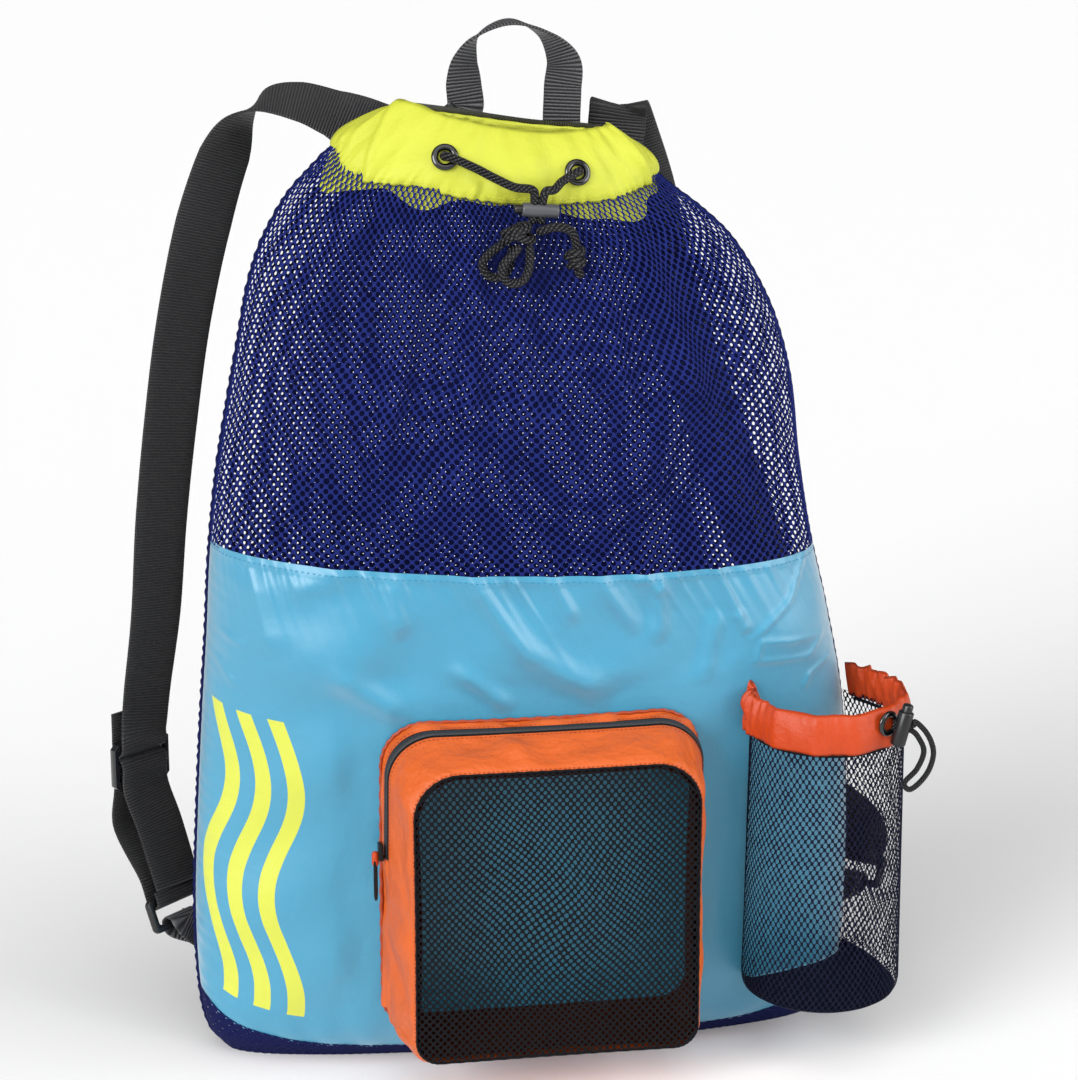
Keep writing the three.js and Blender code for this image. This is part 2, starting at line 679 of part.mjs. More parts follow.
const tailRoutes = {
  left: [{ x: -236, y: 36, z: 148, heading: 38 }, { x: -225.5, y: 22.5, z: 109, heading: 40 }],
  right: [{ x: 207, y: 70, z: 148, heading: -16 }, { x: 208, y: 70, z: 104, heading: -12 }],
};
const ringPlaces = {
  left: { x: -227, y: 21, z: 93, heading: 43 },
  right: { x: 239, y: 21, z: 93, heading: -43 },
};
const ringPull = { side: 0.25, back: 0.3, up: 0.92 };
const tabRoot = { turn: 0.3, z: 71, wide: 24 };
const ladder = { wide: 46, tall: 32, thick: 5, bar: 5, pitch: 12.5, side: 3.2 };
const strapRing = { wide: 49, tall: 23, bar: 4.5, thick: 4.4 };
const turnRadius = ladder.bar * Math.SQRT1_2 + 0.45 + webbingThick / 2;

// directions of a piece of hardware: its width, up along the pull of its strap, and its front
function hardwareAxes({ x, y, z, heading }, pull = vec(0, 0, 1)) {
  const a = radians(heading);
  const wide = vec(Math.cos(a), Math.sin(a), 0);
  const up = pull.clone().addScaledVector(wide, -pull.dot(wide)).normalize();
  return { at: vec(x, y, z), wide, up, front: wide.clone().cross(up) };
}

function faceAlong(mesh, { at, wide, up, front }) {
  mesh.position.copy(at);
  mesh.quaternion.setFromRotationMatrix(new THREE.Matrix4().makeBasis(wide, front.clone().negate(), up));
}

function ringHoop() {
  const { wide, tall, bar, thick } = strapRing;
  const rectangle = (shape, w, h) => shape.moveTo(-w, -h + 2).lineTo(-w + 2, -h).lineTo(w - 2, -h)
    .lineTo(w, -h + 2).lineTo(w, h - 2).lineTo(w - 2, h).lineTo(-w + 2, h).lineTo(-w, h - 2);
  const outline = rectangle(new THREE.Shape(), wide / 2, tall / 2);
  outline.holes.push(rectangle(new THREE.Path(), wide / 2 - bar, tall / 2 - bar));
  const plate = new THREE.ExtrudeGeometry(outline, { depth: thick, bevelEnabled: false });
  return closed(plate.translate(0, 0, -thick / 2).rotateX(Math.PI / 2));
}

function ladderLock() {
  const { wide, tall, thick, bar, pitch, side } = ladder;
  const outline = new THREE.Shape();
  const bevel = 3;
  const [w, h] = [wide / 2, tall / 2];
  outline.moveTo(-w + bevel, -h).lineTo(w - bevel, -h).lineTo(w, -h + bevel).lineTo(w, h - bevel)
    .lineTo(w - bevel, h).lineTo(-w + bevel, h).lineTo(-w, h - bevel).lineTo(-w, -h + bevel);
  const plate = new THREE.ExtrudeGeometry(outline, { depth: thick, bevelEnabled: false });
  const body = closed(plate.translate(0, 0, -thick / 2).rotateX(Math.PI / 2));
  const slots = [-1, 1].map((k) => closed(
    new THREE.BoxGeometry(wide - 2 * side, 3 * thick, pitch - bar).translate(0, 0, (k * pitch) / 2),
  ));
  return cut(body, ...slots);
}

for (const [side, sign] of [["left", -1], ["right", 1]]) {
  const lock = hardwareAxes(lockPlaces[side]);
  const ring = hardwareAxes(ringPlaces[side], vec(sign * ringPull.side, ringPull.back, ringPull.up));
  const behind = lock.front.clone().negate();
  const lockDown = lock.up.clone().negate();
  const ringDown = ring.up.clone().negate();
  const topBar = lock.at.clone().addScaledVector(lock.up, ladder.pitch);
  const ringReach = (strapRing.tall - strapRing.bar) / 2;
  const ringTop = ring.at.clone().addScaledVector(ring.up, ringReach);
  const ringLow = ring.at.clone().addScaledVector(ringDown, ringReach);
  const point = (from, front, up) => ({
    at: from.at.clone().addScaledVector(from.front, front).addScaledVector(from.up, up), wide: from.wide,
  });

  add(`strap_${side}`, ribbon([
    ...strapRoutes[side].map(strapRow),
    point(lock, turnRadius + 0.4, 22),
    ...turnRows(topBar, lock.front, lockDown, turnRadius, lock.wide),
    point(lock, -turnRadius, 24),
    point(lock, -turnRadius, 36),
  ], strapWide, webbingThick), webbing);

  faceAlong(add(`ladder_lock_${side}`, ladderLock(), darkPlastic), lock);

  // adjusting strap: sewn round the ring, up behind the lock, over its middle bar and down as the free tail
  add(`strap_lower_${side}`, ribbon([
    point(ring, turnRadius, ringReach + 6),
    ...turnRows(ringTop, ring.front, ringDown, turnRadius, ring.wide),
    point(ring, -turnRadius, ringReach + 16),
    point(lock, -turnRadius - 3, -44),
    point(lock, -turnRadius, -16),
    ...turnRows(lock.at, behind, lock.up, turnRadius, lock.wide),
    point(lock, turnRadius, -16),
    ...tailRoutes[side].map(strapRow),
  ], strapWide, webbingThick), webbing);

  faceAlong(add(`strap_ring_${side}`, ringHoop(), darkPlastic), ring);

  // tab sewn to the back face by the side seam and folded round the ring
  const turn = sign < 0 ? tabRoot.turn : Math.PI - tabRoot.turn;
  const root = bagPoint(1, turn, tabRoot.z);
  const tabWide = bagPoint(1, turn + 0.05, tabRoot.z).sub(bagPoint(1, turn - 0.05, tabRoot.z)).normalize();
  const outward = tabWide.clone().cross(vec(0, 0, -1));
  const sewnAt = (layer) => {
    const lift = webbingThick / 2 + 1.7 + layer * (webbingThick + 0.6);
    return { at: root.clone().addScaledVector(outward, lift), wide: tabWide };
  };
  add(`strap_tab_${side}`, ribbon([
    sewnAt(1),
    ...turnRows(ringLow, ring.front.clone().negate(), ring.up, turnRadius + 0.6, ring.wide),
    sewnAt(0),
  ], tabRoot.wide, webbingThick), webbing);
}

// Front pocket

// closed outline of a rectangle with round corners, from the foot of the left side clockwise
function roundedOutline({ left, right, low, high }, radiusTop, radiusLow) {
  const corners = [
    { x: left + radiusTop, z: high - radiusTop, radius: radiusTop, from: 180 },
    { x: right - radiusTop, z: high - radiusTop, radius: radiusTop, from: 90 },
    { x: right - radiusLow, z: low + radiusLow, radius: radiusLow, from: 0 },
    { x: left + radiusLow, z: low + radiusLow, radius: radiusLow, from: -90 },
  ];
  const [sideSteps, cornerSteps] = [6, 3];
  const points = [];
  corners.forEach(({ x, z, radius, from }, k) => {
    const before = corners[(k + 3) % 4];
    const leave = radians(before.from - 90);
    const enter = radians(from);
    const start = [before.x + before.radius * Math.cos(leave), before.z + before.radius * Math.sin(leave)];
    const end = [x + radius * Math.cos(enter), z + radius * Math.sin(enter)];
    for (let i = 0; i < sideSteps; i += 1) {
      points.push({ x: mix(start[0], end[0], i / sideSteps), z: mix(start[1], end[1], i / sideSteps) });
    }
    for (let i = 0; i < cornerSteps; i += 1) {
      const turn = radians(from - (90 * i) / cornerSteps);
      points.push({ x: x + radius * Math.cos(turn), z: z + radius * Math.sin(turn) });
    }
  });
  return { points, sideSteps, cornerSteps };
}

const backOutline = roundedOutline(pocket.back, pocket.radiusTop, pocket.radiusLow);
const frontOutline = roundedOutline(pocket.front, pocket.radiusTop, pocket.radiusLow);
const outlineCount = backOutline.points.length;
const pocketMiddle = {
  x: (pocket.front.left + pocket.front.right) / 2, z: (pocket.front.low + pocket.front.high) / 2,
};

// point of the pocket skin at a place round its outline, a depth from panel to front and a swell outwards
function pocketPoint(i, depth, swell, clear = 0.6) {
  const k = ((i % outlineCount) + outlineCount) % outlineCount;
  const [a, b] = [backOutline.points[k], frontOutline.points[k]];
  const p = { x: mix(a.x, b.x, depth), z: mix(a.z, b.z, depth) };
  const [dx, dz] = [p.x - pocketMiddle.x, p.z - pocketMiddle.z];
  const size = Math.hypot(dx, dz);
  const y = mix(frontY(a.x, a.z) - clear, pocket.frontY, depth);
  return vec(p.x + (dx / size) * swell, y, p.z + (dz / size) * swell);
}

const { sideSteps, cornerSteps } = backOutline;
const zipFrom = Math.round(sideSteps * zipEnds.left);
const zipTo = 2 * (sideSteps + cornerSteps) + Math.round(sideSteps * (1 - zipEnds.right));
const inZip = (i) => i >= zipFrom && i < zipTo;
const lastRow = pocketRows.length - 1;

function gussetPoint(i, j) {
  if (j <= lastRow) return pocketPoint(i, pocketRows[j].depth, pocketRows[j].swell);
  return pocketPoint(i, 1, -pocket.lip - 2.2);
}
add("pocket_gusset", new Sheet()
  .grid(outlineCount, lastRow + 1, gussetPoint, (i, j) => j === zipRow && inZip(i))
  .wall(pocket.wall), orangeNylon);

// zip tape and coil in the gap of the gusset
add("pocket_zip", new Sheet().grid(zipTo - zipFrom, 3, (i, j) => {
  const inset = 0.008;
  const edges = [pocketRows[zipRow].depth + inset, pocketRows[zipRow + 1].depth - inset];
  const swells = [pocketRows[zipRow].swell, pocketRows[zipRow + 1].swell];
  const at = THREE.MathUtils.clamp(zipFrom + i, zipFrom + 0.06, zipTo - 0.06);
  const low = Math.floor(at);
  const depth = mix(...edges, j / 3);
  const swell = mix(...swells, j / 3) + 0.2;
  return pocketPoint(low, depth, swell).lerp(pocketPoint(low + 1, depth, swell), at - low);
}).wall(1.6), zipTape);

// netting front, crowned a little, just inside the lip of the gusset
const netInset = pocket.lip + 2.2 + 0.5;
add("pocket_net", new Sheet().grid(outlineCount, 3, (i, j) => {
  const rim = pocketPoint(i, 1, -netInset);
  const inward = j / 3;
  const middle = vec(pocketMiddle.x, pocket.frontY, pocketMiddle.z);
  return rim.lerp(middle, inward).add(vec(0, -pocket.crown * inward * (2 - inward), 0));
}).wall(clothWall), blackNet);

// slider at the left end of the zip with a soft pull of folded cord
const zipEnd = pocketPoint(zipFrom, 0.275, 3.6);
add("zip_slider", closed(new THREE.BoxGeometry(3.4, 8.5, 11)
  .translate(zipEnd.x - 2.5, zipEnd.y, zipEnd.z + 4)), zipTape);
const pullTop = vec(zipEnd.x - 6.2, zipEnd.y, zipEnd.z + 2);
add("zip_pull", ribbon([0, -8, -18, -30].map((drop, k) => ({
  at: pullTop.clone().add(vec([0, -0.6, -0.3, 0.8][k], [0, 0.6, 0.4, -0.6][k], drop)),
  wide: vec(0.2, 1, 0),
})), 5, 2.2, 2), orangeNylon);

// Open sleeve

const sleeveSide = { start: 0.1, end: 0.78 };

// plan of the sleeve wall from its seam on the front panel, round the front, to the side seam of the bag
function sleevePlan(q, z, inset = 0) {
  const lift = (z - sleeve.low) / (sleeveEdge[2].high - sleeve.low);
  const radius = mix(sleeve.radiusLow, sleeve.radiusHigh, Math.min(Math.max(lift, 0), 1)) - inset;
  const { x, y } = sleeve;
  const seam = vec(along(bagSections, "z", "right", z) + sleeve.seamX, sleeve.seamY, z);
  if (q < sleeveSide.start) {
    const foot = vec(x - radius + 3, frontY(x - radius + 3, z) - 0.5, z);
    return foot.lerp(vec(x - radius, y, z), q / sleeveSide.start);
  }
  if (q <= sleeveSide.end) {
    const turn = Math.PI * (1 + (q - sleeveSide.start) / (sleeveSide.end - sleeveSide.start));
    return vec(x + radius * Math.cos(turn), y + radius * Math.sin(turn), z);
  }
  const u = (q - sleeveSide.end) / (1 - sleeveSide.end);
  const side = vec(x + radius, y, z);
  const bend = vec(x + radius - 1, y + 34, z);
  return side.lerp(bend, u).lerp(bend.clone().lerp(seam, u), u);
}

// point of the front panel behind the sleeve floor
function sleeveBack(q, z) {
  const from = sleevePlan(0, z).x;
  const to = sleevePlan(1, z).x;
  const x = mix(from, to, q);
  return vec(x, Math.min(frontY(x, z) - 0.5, sleeve.seamY), z);
}

const wallRows = [0, 0.25, 0.5, 0.75, 0.93, 1];
const floorRows = [
  { inset: 2.5, z: sleeve.low + 3 }, { inset: sleeve.round, z: sleeve.low },
];
add("sleeve_net", (() => {
  const { columns } = sleeve;
  const sheet = new Sheet();
  const wallLow = sleeve.low + sleeve.round;
  const wallPoint = (i, j) => {
    const q = i / columns;
    const top = along(sleeveEdge, "along", "low", q) - 0.6;
    return sleevePlan(q, mix(wallLow, top, wallRows[j]));
  };
  sheet.grid(columns, wallRows.length - 1, wallPoint);
  const floorPoint = (i, j) => {
    const q = i / columns;
    if (j === 0) {
      const level = floorRows[1].z;
      return sleevePlan(q, level, floorRows[1].inset).lerp(sleeveBack(q, level), 0.45);
    }
    if (j === 3) return wallPoint(i, 0);
    const row = floorRows[2 - j];
    return sleevePlan(q, row.z, row.inset);
  };
  sheet.grid(columns, 3, floorPoint);
  sheet.grid(columns, 2, (i, j) => {
    const q = i / columns;
    return sleeveBack(q, sleeve.low).lerp(floorPoint(i, 0), j / 2);
  });
  return sheet.wall(sleeve.wall);
})(), navyNet);

// gathered collar of the sleeve, open along the bag
add("sleeve_collar", (() => {
  const ring = section(0.02, [0.25, 0.75], 1);
  const columns = ruffles.columns;
  const points = [];
  const faces = [];
  const n = ring.length;
  const thick = (up) => ruffles.halfThick * Math.sin(Math.PI * up) ** 0.6;
  for (let i = 0; i <= columns; i += 1) {
    const q = mix(ruffles.from, ruffles.to, i / columns);
    const hug = Math.min(1, 0.2 + (q - ruffles.from) / 0.12, 0.3 + (ruffles.to - q) / 0.1);
    const [low, high] = ["low", "high"].map((column) => along(sleeveEdge, "along", column, q));
    const wave = ruffles.deep * Math.sin(2 * Math.PI * ruffles.count * q) * Math.sin(Math.PI * q) ** 0.3;
    for (const { up, side } of ring) {
      const z = mix(low, high, up);
      const p = sleevePlan(q, z);
      const next = sleevePlan(q + 0.004, z);
      const outward = vec(next.y - p.y, p.x - next.x, 0).normalize();
      const lean = -2.5 * up + (wave * (0.35 + 0.65 * Math.abs(2 * up - 1)));
      points.push(p.addScaledVector(outward, hug * (side * thick(up) + lean + 2.6)));
    }
  }
  for (let i = 0; i < columns; i += 1) {
    for (let k = 0; k < n; k += 1) {
      const [a, b] = [n * i + k, n * i + ((k + 1) % n)];
      faces.push([a, b, b + n], [a, b + n, a + n]);
    }
  }
  for (let k = 1; k < n - 1; k += 1) {
    faces.push([0, k + 1, k], [n * columns, n * columns + k, n * columns + k + 1]);
  }
  return solid(points, faces);
})(), orangeNylon);

// flat eyelet on the collar of the sleeve, behind its lock
const eyeletTurn = radians(sleeveEyelet.turnDegrees);
const eyeletOut = vec(Math.cos(eyeletTurn), Math.sin(eyeletTurn), 0);
const eyeletReach = sleeve.radiusHigh + ruffles.halfThick + ruffles.deep / 2 + sleeveEyelet.clear;
const sleeveRing = add("sleeve_eyelet", eyeletGeometry(0), blackMetal);
sleeveRing.quaternion.setFromUnitVectors(upAxis, eyeletOut);
sleeveRing.position.set(sleeve.x, sleeve.y, sleeveEyelet.z).addScaledVector(eyeletOut, eyeletReach);

const sleeveLock = addLock("sleeve_lock", sleeveCordDiameter, [darkPlastic, darkPlastic], sleeveLockAt,
  [0, radians(90 + sleeveLockAt.leanDegrees), 0]);
const loopOut = [[8, 0, 4], [17, 1, -5], [22, 2, -19], [17.5, 2.5, -34], [7, 2.5, -43]];
const loopBack = [[3.4, 2.5, -39], [11.4, 2, -29], [15.4, 1.5, -17], [11.8, 1, -8]];
add("sleeve_cord", tube([
  sleeveLock[0](0, 0, -7), sleeveLock[0](0, 0, 7),
  ...loopOut.map(([x, y, z]) => vec(sleeveLockAt.x + x, sleeveLockAt.y + y, sleeveLockAt.z + z)),
  ...loopBack.map(([x, y, z]) => vec(sleeveLockAt.x + x, sleeveLockAt.y + y, sleeveLockAt.z + z)),
  sleeveLock[1](0, 0, 7), sleeveLock[1](0, 0, -7),
], sleeveCordDiameter, 8, 26), braid);

export default bag;
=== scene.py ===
# Mesh swim backpack: the looks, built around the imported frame
import math

import bpy
import numpy as np
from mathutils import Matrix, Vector


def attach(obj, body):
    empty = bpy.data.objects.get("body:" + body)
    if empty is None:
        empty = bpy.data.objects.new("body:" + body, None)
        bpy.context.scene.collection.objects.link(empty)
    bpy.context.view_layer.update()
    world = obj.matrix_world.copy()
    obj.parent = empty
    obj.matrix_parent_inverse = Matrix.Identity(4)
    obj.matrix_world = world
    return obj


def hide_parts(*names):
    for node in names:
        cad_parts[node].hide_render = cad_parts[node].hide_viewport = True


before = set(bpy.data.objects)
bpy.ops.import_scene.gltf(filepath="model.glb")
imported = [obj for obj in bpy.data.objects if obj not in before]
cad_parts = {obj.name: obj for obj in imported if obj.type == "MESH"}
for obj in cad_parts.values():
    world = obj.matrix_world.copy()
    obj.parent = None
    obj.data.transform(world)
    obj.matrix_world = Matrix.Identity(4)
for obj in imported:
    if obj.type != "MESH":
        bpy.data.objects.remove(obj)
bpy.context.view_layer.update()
print("frame loaded")

# Shapes are worked out in millimetres and scaled once, when a piece is made
metre = 0.001
fullTurn = 2 * math.pi
noise = np.random.default_rng(7)


# Small helpers

def mix(a, b, t):
    return a + (b - a) * t


def unit(v):
    return v / np.maximum(np.linalg.norm(v, axis=-1, keepdims=True), 1e-9)


def ease(a, b, x):
    u = np.clip((x - a) / (b - a), 0, 1)
    return u * u * (3 - 2 * u)


def bell(x, middle, wide):
    return np.exp(-(((x - middle) / wide) ** 2))


def stack(x, y, z):
    return np.stack(np.broadcast_arrays(x, y, z), axis=-1).astype(float)


# smooth value of one column of a table, the same curve as the CAD source draws
def smooth(table, key, column, at):
    keys = np.array(table[key], float)
    values = np.array(table[column], float)
    slopes = np.zeros(len(values))
    slopes[1:-1] = (values[2:] - values[:-2]) / (keys[2:] - keys[:-2])
    slopes[0] = (values[1] - values[0]) / (keys[1] - keys[0])
    slopes[-1] = (values[-1] - values[-2]) / (keys[-1] - keys[-2])
    i = np.clip(np.searchsorted(keys, at) - 1, 0, len(keys) - 2)
    span = keys[i + 1] - keys[i]
    u = np.clip((at - keys[i]) / span, 0, 1)
    low = (2 * u**3 - 3 * u**2 + 1) * values[i] + (u**3 - 2 * u**2 + u) * span * slopes[i]
    high = (3 * u**2 - 2 * u**3) * values[i + 1] + (u**3 - u**2) * span * slopes[i + 1]
    return low + high


# centripetal curve through the points, as the CAD source draws it
def curve(points, count):
    p = np.asarray(points, float)
    p = np.vstack([2 * p[0] - p[1], p, 2 * p[-1] - p[-2]])
    at = np.linspace(0, len(p) - 3, count)
    k = np.minimum(at.astype(int), len(p) - 4)
    u = (at - k)[:, None]
    a, b, c, d = (p[k + i] for i in range(4))
    steps = ((b, a), (c, b), (d, c))
    before, between, after = (np.linalg.norm(q - r, axis=1)[:, None] ** 0.5 for q, r in steps)
    leave = ((b - a) / before - (c - a) / (before + between) + (c - b) / between) * between
    reach = ((c - b) / between - (d - b) / (between + after) + (d - c) / after) * between
    return b + leave * u + (3 * (c - b) - 2 * leave - reach) * u**2 + (2 * (b - c) + leave + reach) * u**3


def lengthAlong(points):
    return np.concatenate([[0], np.cumsum(np.linalg.norm(np.diff(points, axis=0), axis=1))])


# faces of a grid whose points run column by column
def gridFaces(columns, rows, closeColumns=False, closeRows=False):
    high = rows if closeRows else rows + 1
    wide = columns if closeColumns else columns + 1
    i, j = (a.ravel() for a in np.meshgrid(np.arange(columns), np.arange(rows), indexing="ij"))
    nextI = (i + 1) % wide
    nextJ = (j + 1) % high
    return np.stack([i * high + j, nextI * high + j, nextI * high + nextJ, i * high + nextJ], axis=1)


def newObject(name, data):
    made = bpy.data.objects.new(name, data)
    bpy.context.scene.collection.objects.link(made)
    return made


# one piece of the object, from points in millimetres
def piece(name, points, faces, look, replaces=(), uv=None, body="bag"):
    mesh = bpy.data.meshes.new(name)
    faces = np.asarray(faces)
    mesh.from_pydata((np.asarray(points) * metre).tolist(), [], faces.tolist())
    if uv is not None:
        layer = mesh.uv_layers.new(name="cloth")
        layer.data.foreach_set("uv", np.asarray(uv, np.float32)[faces.ravel()].ravel())
    mesh.polygons.foreach_set("use_smooth", [True] * len(mesh.polygons))
    mesh.materials.append(looks[look])
    made = newObject(name, mesh)
    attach(made, body)
    if replaces:
        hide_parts(*replaces)
    return made


# several point and face sets as one
def joined(parts):
    points = []
    faces = []
    start = 0
    for somePoints, someFaces in parts:
        points.append(somePoints)
        faces.append(np.asarray(someFaces) + start)
        start += len(somePoints)
    return np.vstack(points), np.vstack(faces)


# Materials

# sRGB hex to the linear colour that shaders take
def linear(code):
    parts = [int(code[i:i + 2], 16) / 255 for i in (1, 3, 5)]
    return tuple(c / 12.92 if c <= 0.04045 else ((c + 0.055) / 1.055) ** 2.4 for c in parts) + (1.0,)


# one node with its settings and links; a link from a whole node takes its first output
def addNode(tree, kind, settings, links=()):
    new = tree.nodes.new("ShaderNode" + kind)
    for key, value in settings.items():
        if isinstance(key, str) and hasattr(new, key):
            setattr(new, key, value)
        else:
            new.inputs[key].default_value = value
    for key, source in dict(links).items():
        if isinstance(source, bpy.types.Node):
            source = source.outputs[0]
        tree.links.new(source, new.inputs[key])
    return new


def newLook(name, color, settings):
    look = bpy.data.materials.new(name)
    look.use_nodes = True
    shader = look.node_tree.nodes["Principled BSDF"]
    shader.inputs["Base Color"].default_value = linear(color)
    for key, value in settings.items():
        shader.inputs[key].default_value = value
    return look, look.node_tree, shader


# rounded ribs along one direction of the cloth, as a value from 0 to 1
def ribs(tree, source, pitch, power=1.0):
    turn = addNode(tree, "Math", {"operation": "MULTIPLY", 1: math.pi / pitch}, {0: source})
    wave = addNode(tree, "Math", {"operation": "SINE"}, {0: turn})
    rise = addNode(tree, "Math", {"operation": "ABSOLUTE"}, {0: wave})
    return addNode(tree, "Math", {"operation": "POWER", 1: power}, {0: rise})


# the cloth's own millimetres: the pair, then each of the two
def clothCoordinates(tree):
    place = addNode(tree, "UVMap", {"uv_map": "cloth"})
    split = addNode(tree, "SeparateXYZ", {}, {0: place})
    return place, split.outputs[0], split.outputs[1]


def bumped(tree, shader, height, distance):
    bump = addNode(tree, "Bump", {"Distance": distance}, {"Height": height})
    tree.links.new(bump.outputs[0], shader.inputs["Normal"])


# warp-knitted polyester netting: matt round yarn that scatters light, so strands stay dark
# and keep their colour
def nettingLook(name, color):
    return newLook(name, color, {"Roughness": 0.75, "Specular IOR Level": 0.12})[0]


# plain-weave nylon, heat-pressed on one side: a satin face with a very fine grain that blurs highlights,
# over soft puckers a finger wide
def nylonLook(name, color, settings, puckers):
    look, tree, shader = newLook(name, color, settings)
    place, x, y = clothCoordinates(tree)
    grain = 0.9  # real yarns are 0.2 mm, drawn coarser to show at all
    warp = ribs(tree, x, grain)
    weft = ribs(tree, y, grain)
    weave = addNode(tree, "Math", {"operation": "MULTIPLY"}, {0: warp, 1: weft})
    crush = addNode(tree, "TexNoise", {"Scale": 0.055, "Detail": 3.0, "Roughness": 0.55}, {"Vector": place})
    fine = addNode(tree, "Math", {"operation": "MULTIPLY", 1: 0.012}, {0: weave})
    soft = addNode(tree, "Math", {"operation": "MULTIPLY", 1: puckers}, {0: crush})
    total = addNode(tree, "Math", {"operation": "ADD"}, {0: fine, 1: soft})
    bumped(tree, shader, total, 0.004)
    return look, tree, shader


# polypropylene webbing woven with a heavy weft: cross ribs whose gaps are darkened to near black as painted
# shade, and a slight plastic shine
def webbingLook(name, color, ribPitch):
    settings = {"Roughness": 0.46, "Specular IOR Level": 0.5, "Sheen Weight": 0.06}
    look, tree, shader = newLook(name, color, settings)
    place, x, y = clothCoordinates(tree)
    weft = ribs(tree, y, ribPitch, 1.4)
    yarns = ribs(tree, x, 1.1)
    speck = addNode(tree, "TexNoise", {"Scale": 1.3, "Detail": 2.0}, {"Vector": place})
    fine = addNode(tree, "Math", {"operation": "MULTIPLY", 1: 0.25}, {0: yarns})
    both = addNode(tree, "Math", {"operation": "ADD"}, {0: weft, 1: fine})
    bumped(tree, shader, both, 0.0009)
    # painted shade: near black in the gaps between the ribs, the strap's own colour on them, broken by noise
    shade = addNode(tree, "Math", {"operation": "MULTIPLY"}, {0: weft, 1: speck})
    tones = addNode(tree, "ValToRGB", {}, {0: shade})
    tones.color_ramp.elements[0].color = linear("#070708")
    tones.color_ramp.elements[1].position = 0.6
    tones.color_ramp.elements[1].color = linear(color)
    tree.links.new(tones.outputs[0], shader.inputs["Base Color"])
    return look


# braided polyester cord: strands wound both ways; the raised crossings are painted pale as a highlight and
# the gaps near black as painted shade
def braidLook(name, color, crestHighlight, diameter):
    look, tree, shader = newLook(name, color, {"Roughness": 0.5, "Specular IOR Level": 0.3})
    x, y = clothCoordinates(tree)[1:]
    rise = addNode(tree, "Math", {"operation": "ADD"}, {0: x, 1: y})
    fall = addNode(tree, "Math", {"operation": "SUBTRACT"}, {0: x, 1: y})
    pitch = math.pi * diameter / 6  # six strands each way, real ones are finer
    one = ribs(tree, rise, pitch, 1.3)
    two = ribs(tree, fall, pitch)
    part = addNode(tree, "Math", {"operation": "MULTIPLY_ADD", 1: 0.5, 2: 0.5}, {0: two})
    crossing = addNode(tree, "Math", {"operation": "MULTIPLY"}, {0: one, 1: part})
    bumped(tree, shader, crossing, 0.0014)
    # painted highlight on the raised crossings, painted shade in the gaps between them
    tones = addNode(tree, "ValToRGB", {}, {0: crossing})
    tones.color_ramp.elements[0].color = linear("#050506")
    tones.color_ramp.elements[1].color = linear(crestHighlight)
    middle = tones.color_ramp.elements.new(0.5)
    middle.color = linear(color)
    tree.links.new(tones.outputs[0], shader.inputs["Base Color"])
    return look


satin = {"Roughness": 0.45, "Specular IOR Level": 0.35}
looks = {
    "blueNet": nettingLook("blue_netting", "#141F5F"),
    "navyNet": nettingLook("navy_netting", "#0B1140"),
    "sleeveNet": nettingLook("sleeve_netting", "#0A0D22"),
    "blackNet": nettingLook("black_netting", "#0C0D11"),
    "yellow": nylonLook("yellow_nylon", "#B9BE3A", {**satin, "Roughness": 0.58}, puckers=0.5)[0],
    "orange": nylonLook("orange_nylon", "#C0551B", satin, puckers=0.9)[0],
    "redOrange": nylonLook("sleeve_nylon", "#B03A0C", satin, puckers=0.6)[0],
    "webbing": webbingLook("strap_webbing", "#2E2E31", ribPitch=1.9),
    "loopWebbing": webbingLook("loop_webbing", "#58585C", ribPitch=2.1),
    "braid": braidLook("drawcord_braid", "#0E0E0F", "#45454A", diameter=5.6),
    "thinBraid": braidLook("sleeve_braid", "#0C0C0D", "#3A3A3E", diameter=4.0),
    # brass eyelet sprayed gloss black: small bright crescents on a dark ring
    "eyelet": newLook("eyelet_black", "#0A0A0B",
                      {"Roughness": 0.16, "Coat Weight": 0.6, "Coat Roughness": 0.08})[0],
    # acetal moulded in a spark-eroded tool: even satin grey
    "greyPlastic": newLook("grey_acetal", "#47484B", {"Roughness": 0.34})[0],
    "darkPlastic": newLook("dark_acetal", "#111112", {"Roughness": 0.34})[0],
    # acetal from a polished tool: a dark gloss that takes a bright edge
    "glossPlastic": newLook("gloss_acetal", "#18181A",
                            {"Roughness": 0.18, "Coat Weight": 0.5, "Coat Roughness": 0.1})[0],
    # woven polyester zip tape and a nylon coil with a dull shine
    "zipTape": newLook("zip_tape", "#0A0A0B", {"Roughness": 0.8, "Specular IOR Level": 0.2})[0],
    "zipCoil": newLook("zip_coil", "#2B2B2E", {"Roughness": 0.45, "Specular IOR Level": 0.3})[0],
    # die-cast zinc under black enamel: small dull glints
    "slider": newLook("slider_enamel", "#161617", {"Roughness": 0.3, "Metallic": 0.6})[0],
    # dark rust sheet on the inner face of the gusset: painted shade for the inside of the pocket, dull
    "shadeLining": newLook("pocket_shade_lining", "#3A1406", {"Roughness": 0.85, "Specular IOR Level": 0.1})[0],
    # bias-cut nylon rolled over a cord: a thin satin line, darker than the wall beside it
    "pipe": nylonLook("orange_piping", "#93330B", {"Roughness": 0.5}, puckers=0.2)[0],
    # spun polyester thread: matt, and near the colour of the cloth it holds
    "orangeThread": newLook("orange_thread", "#9C320C", {"Roughness": 0.7})[0],
    "yellowThread": newLook("yellow_thread", "#BFC52A", {"Roughness": 0.7})[0],
    "blueThread": newLook("blue_thread", "#2F7FA3", {"Roughness": 0.7})[0],
}

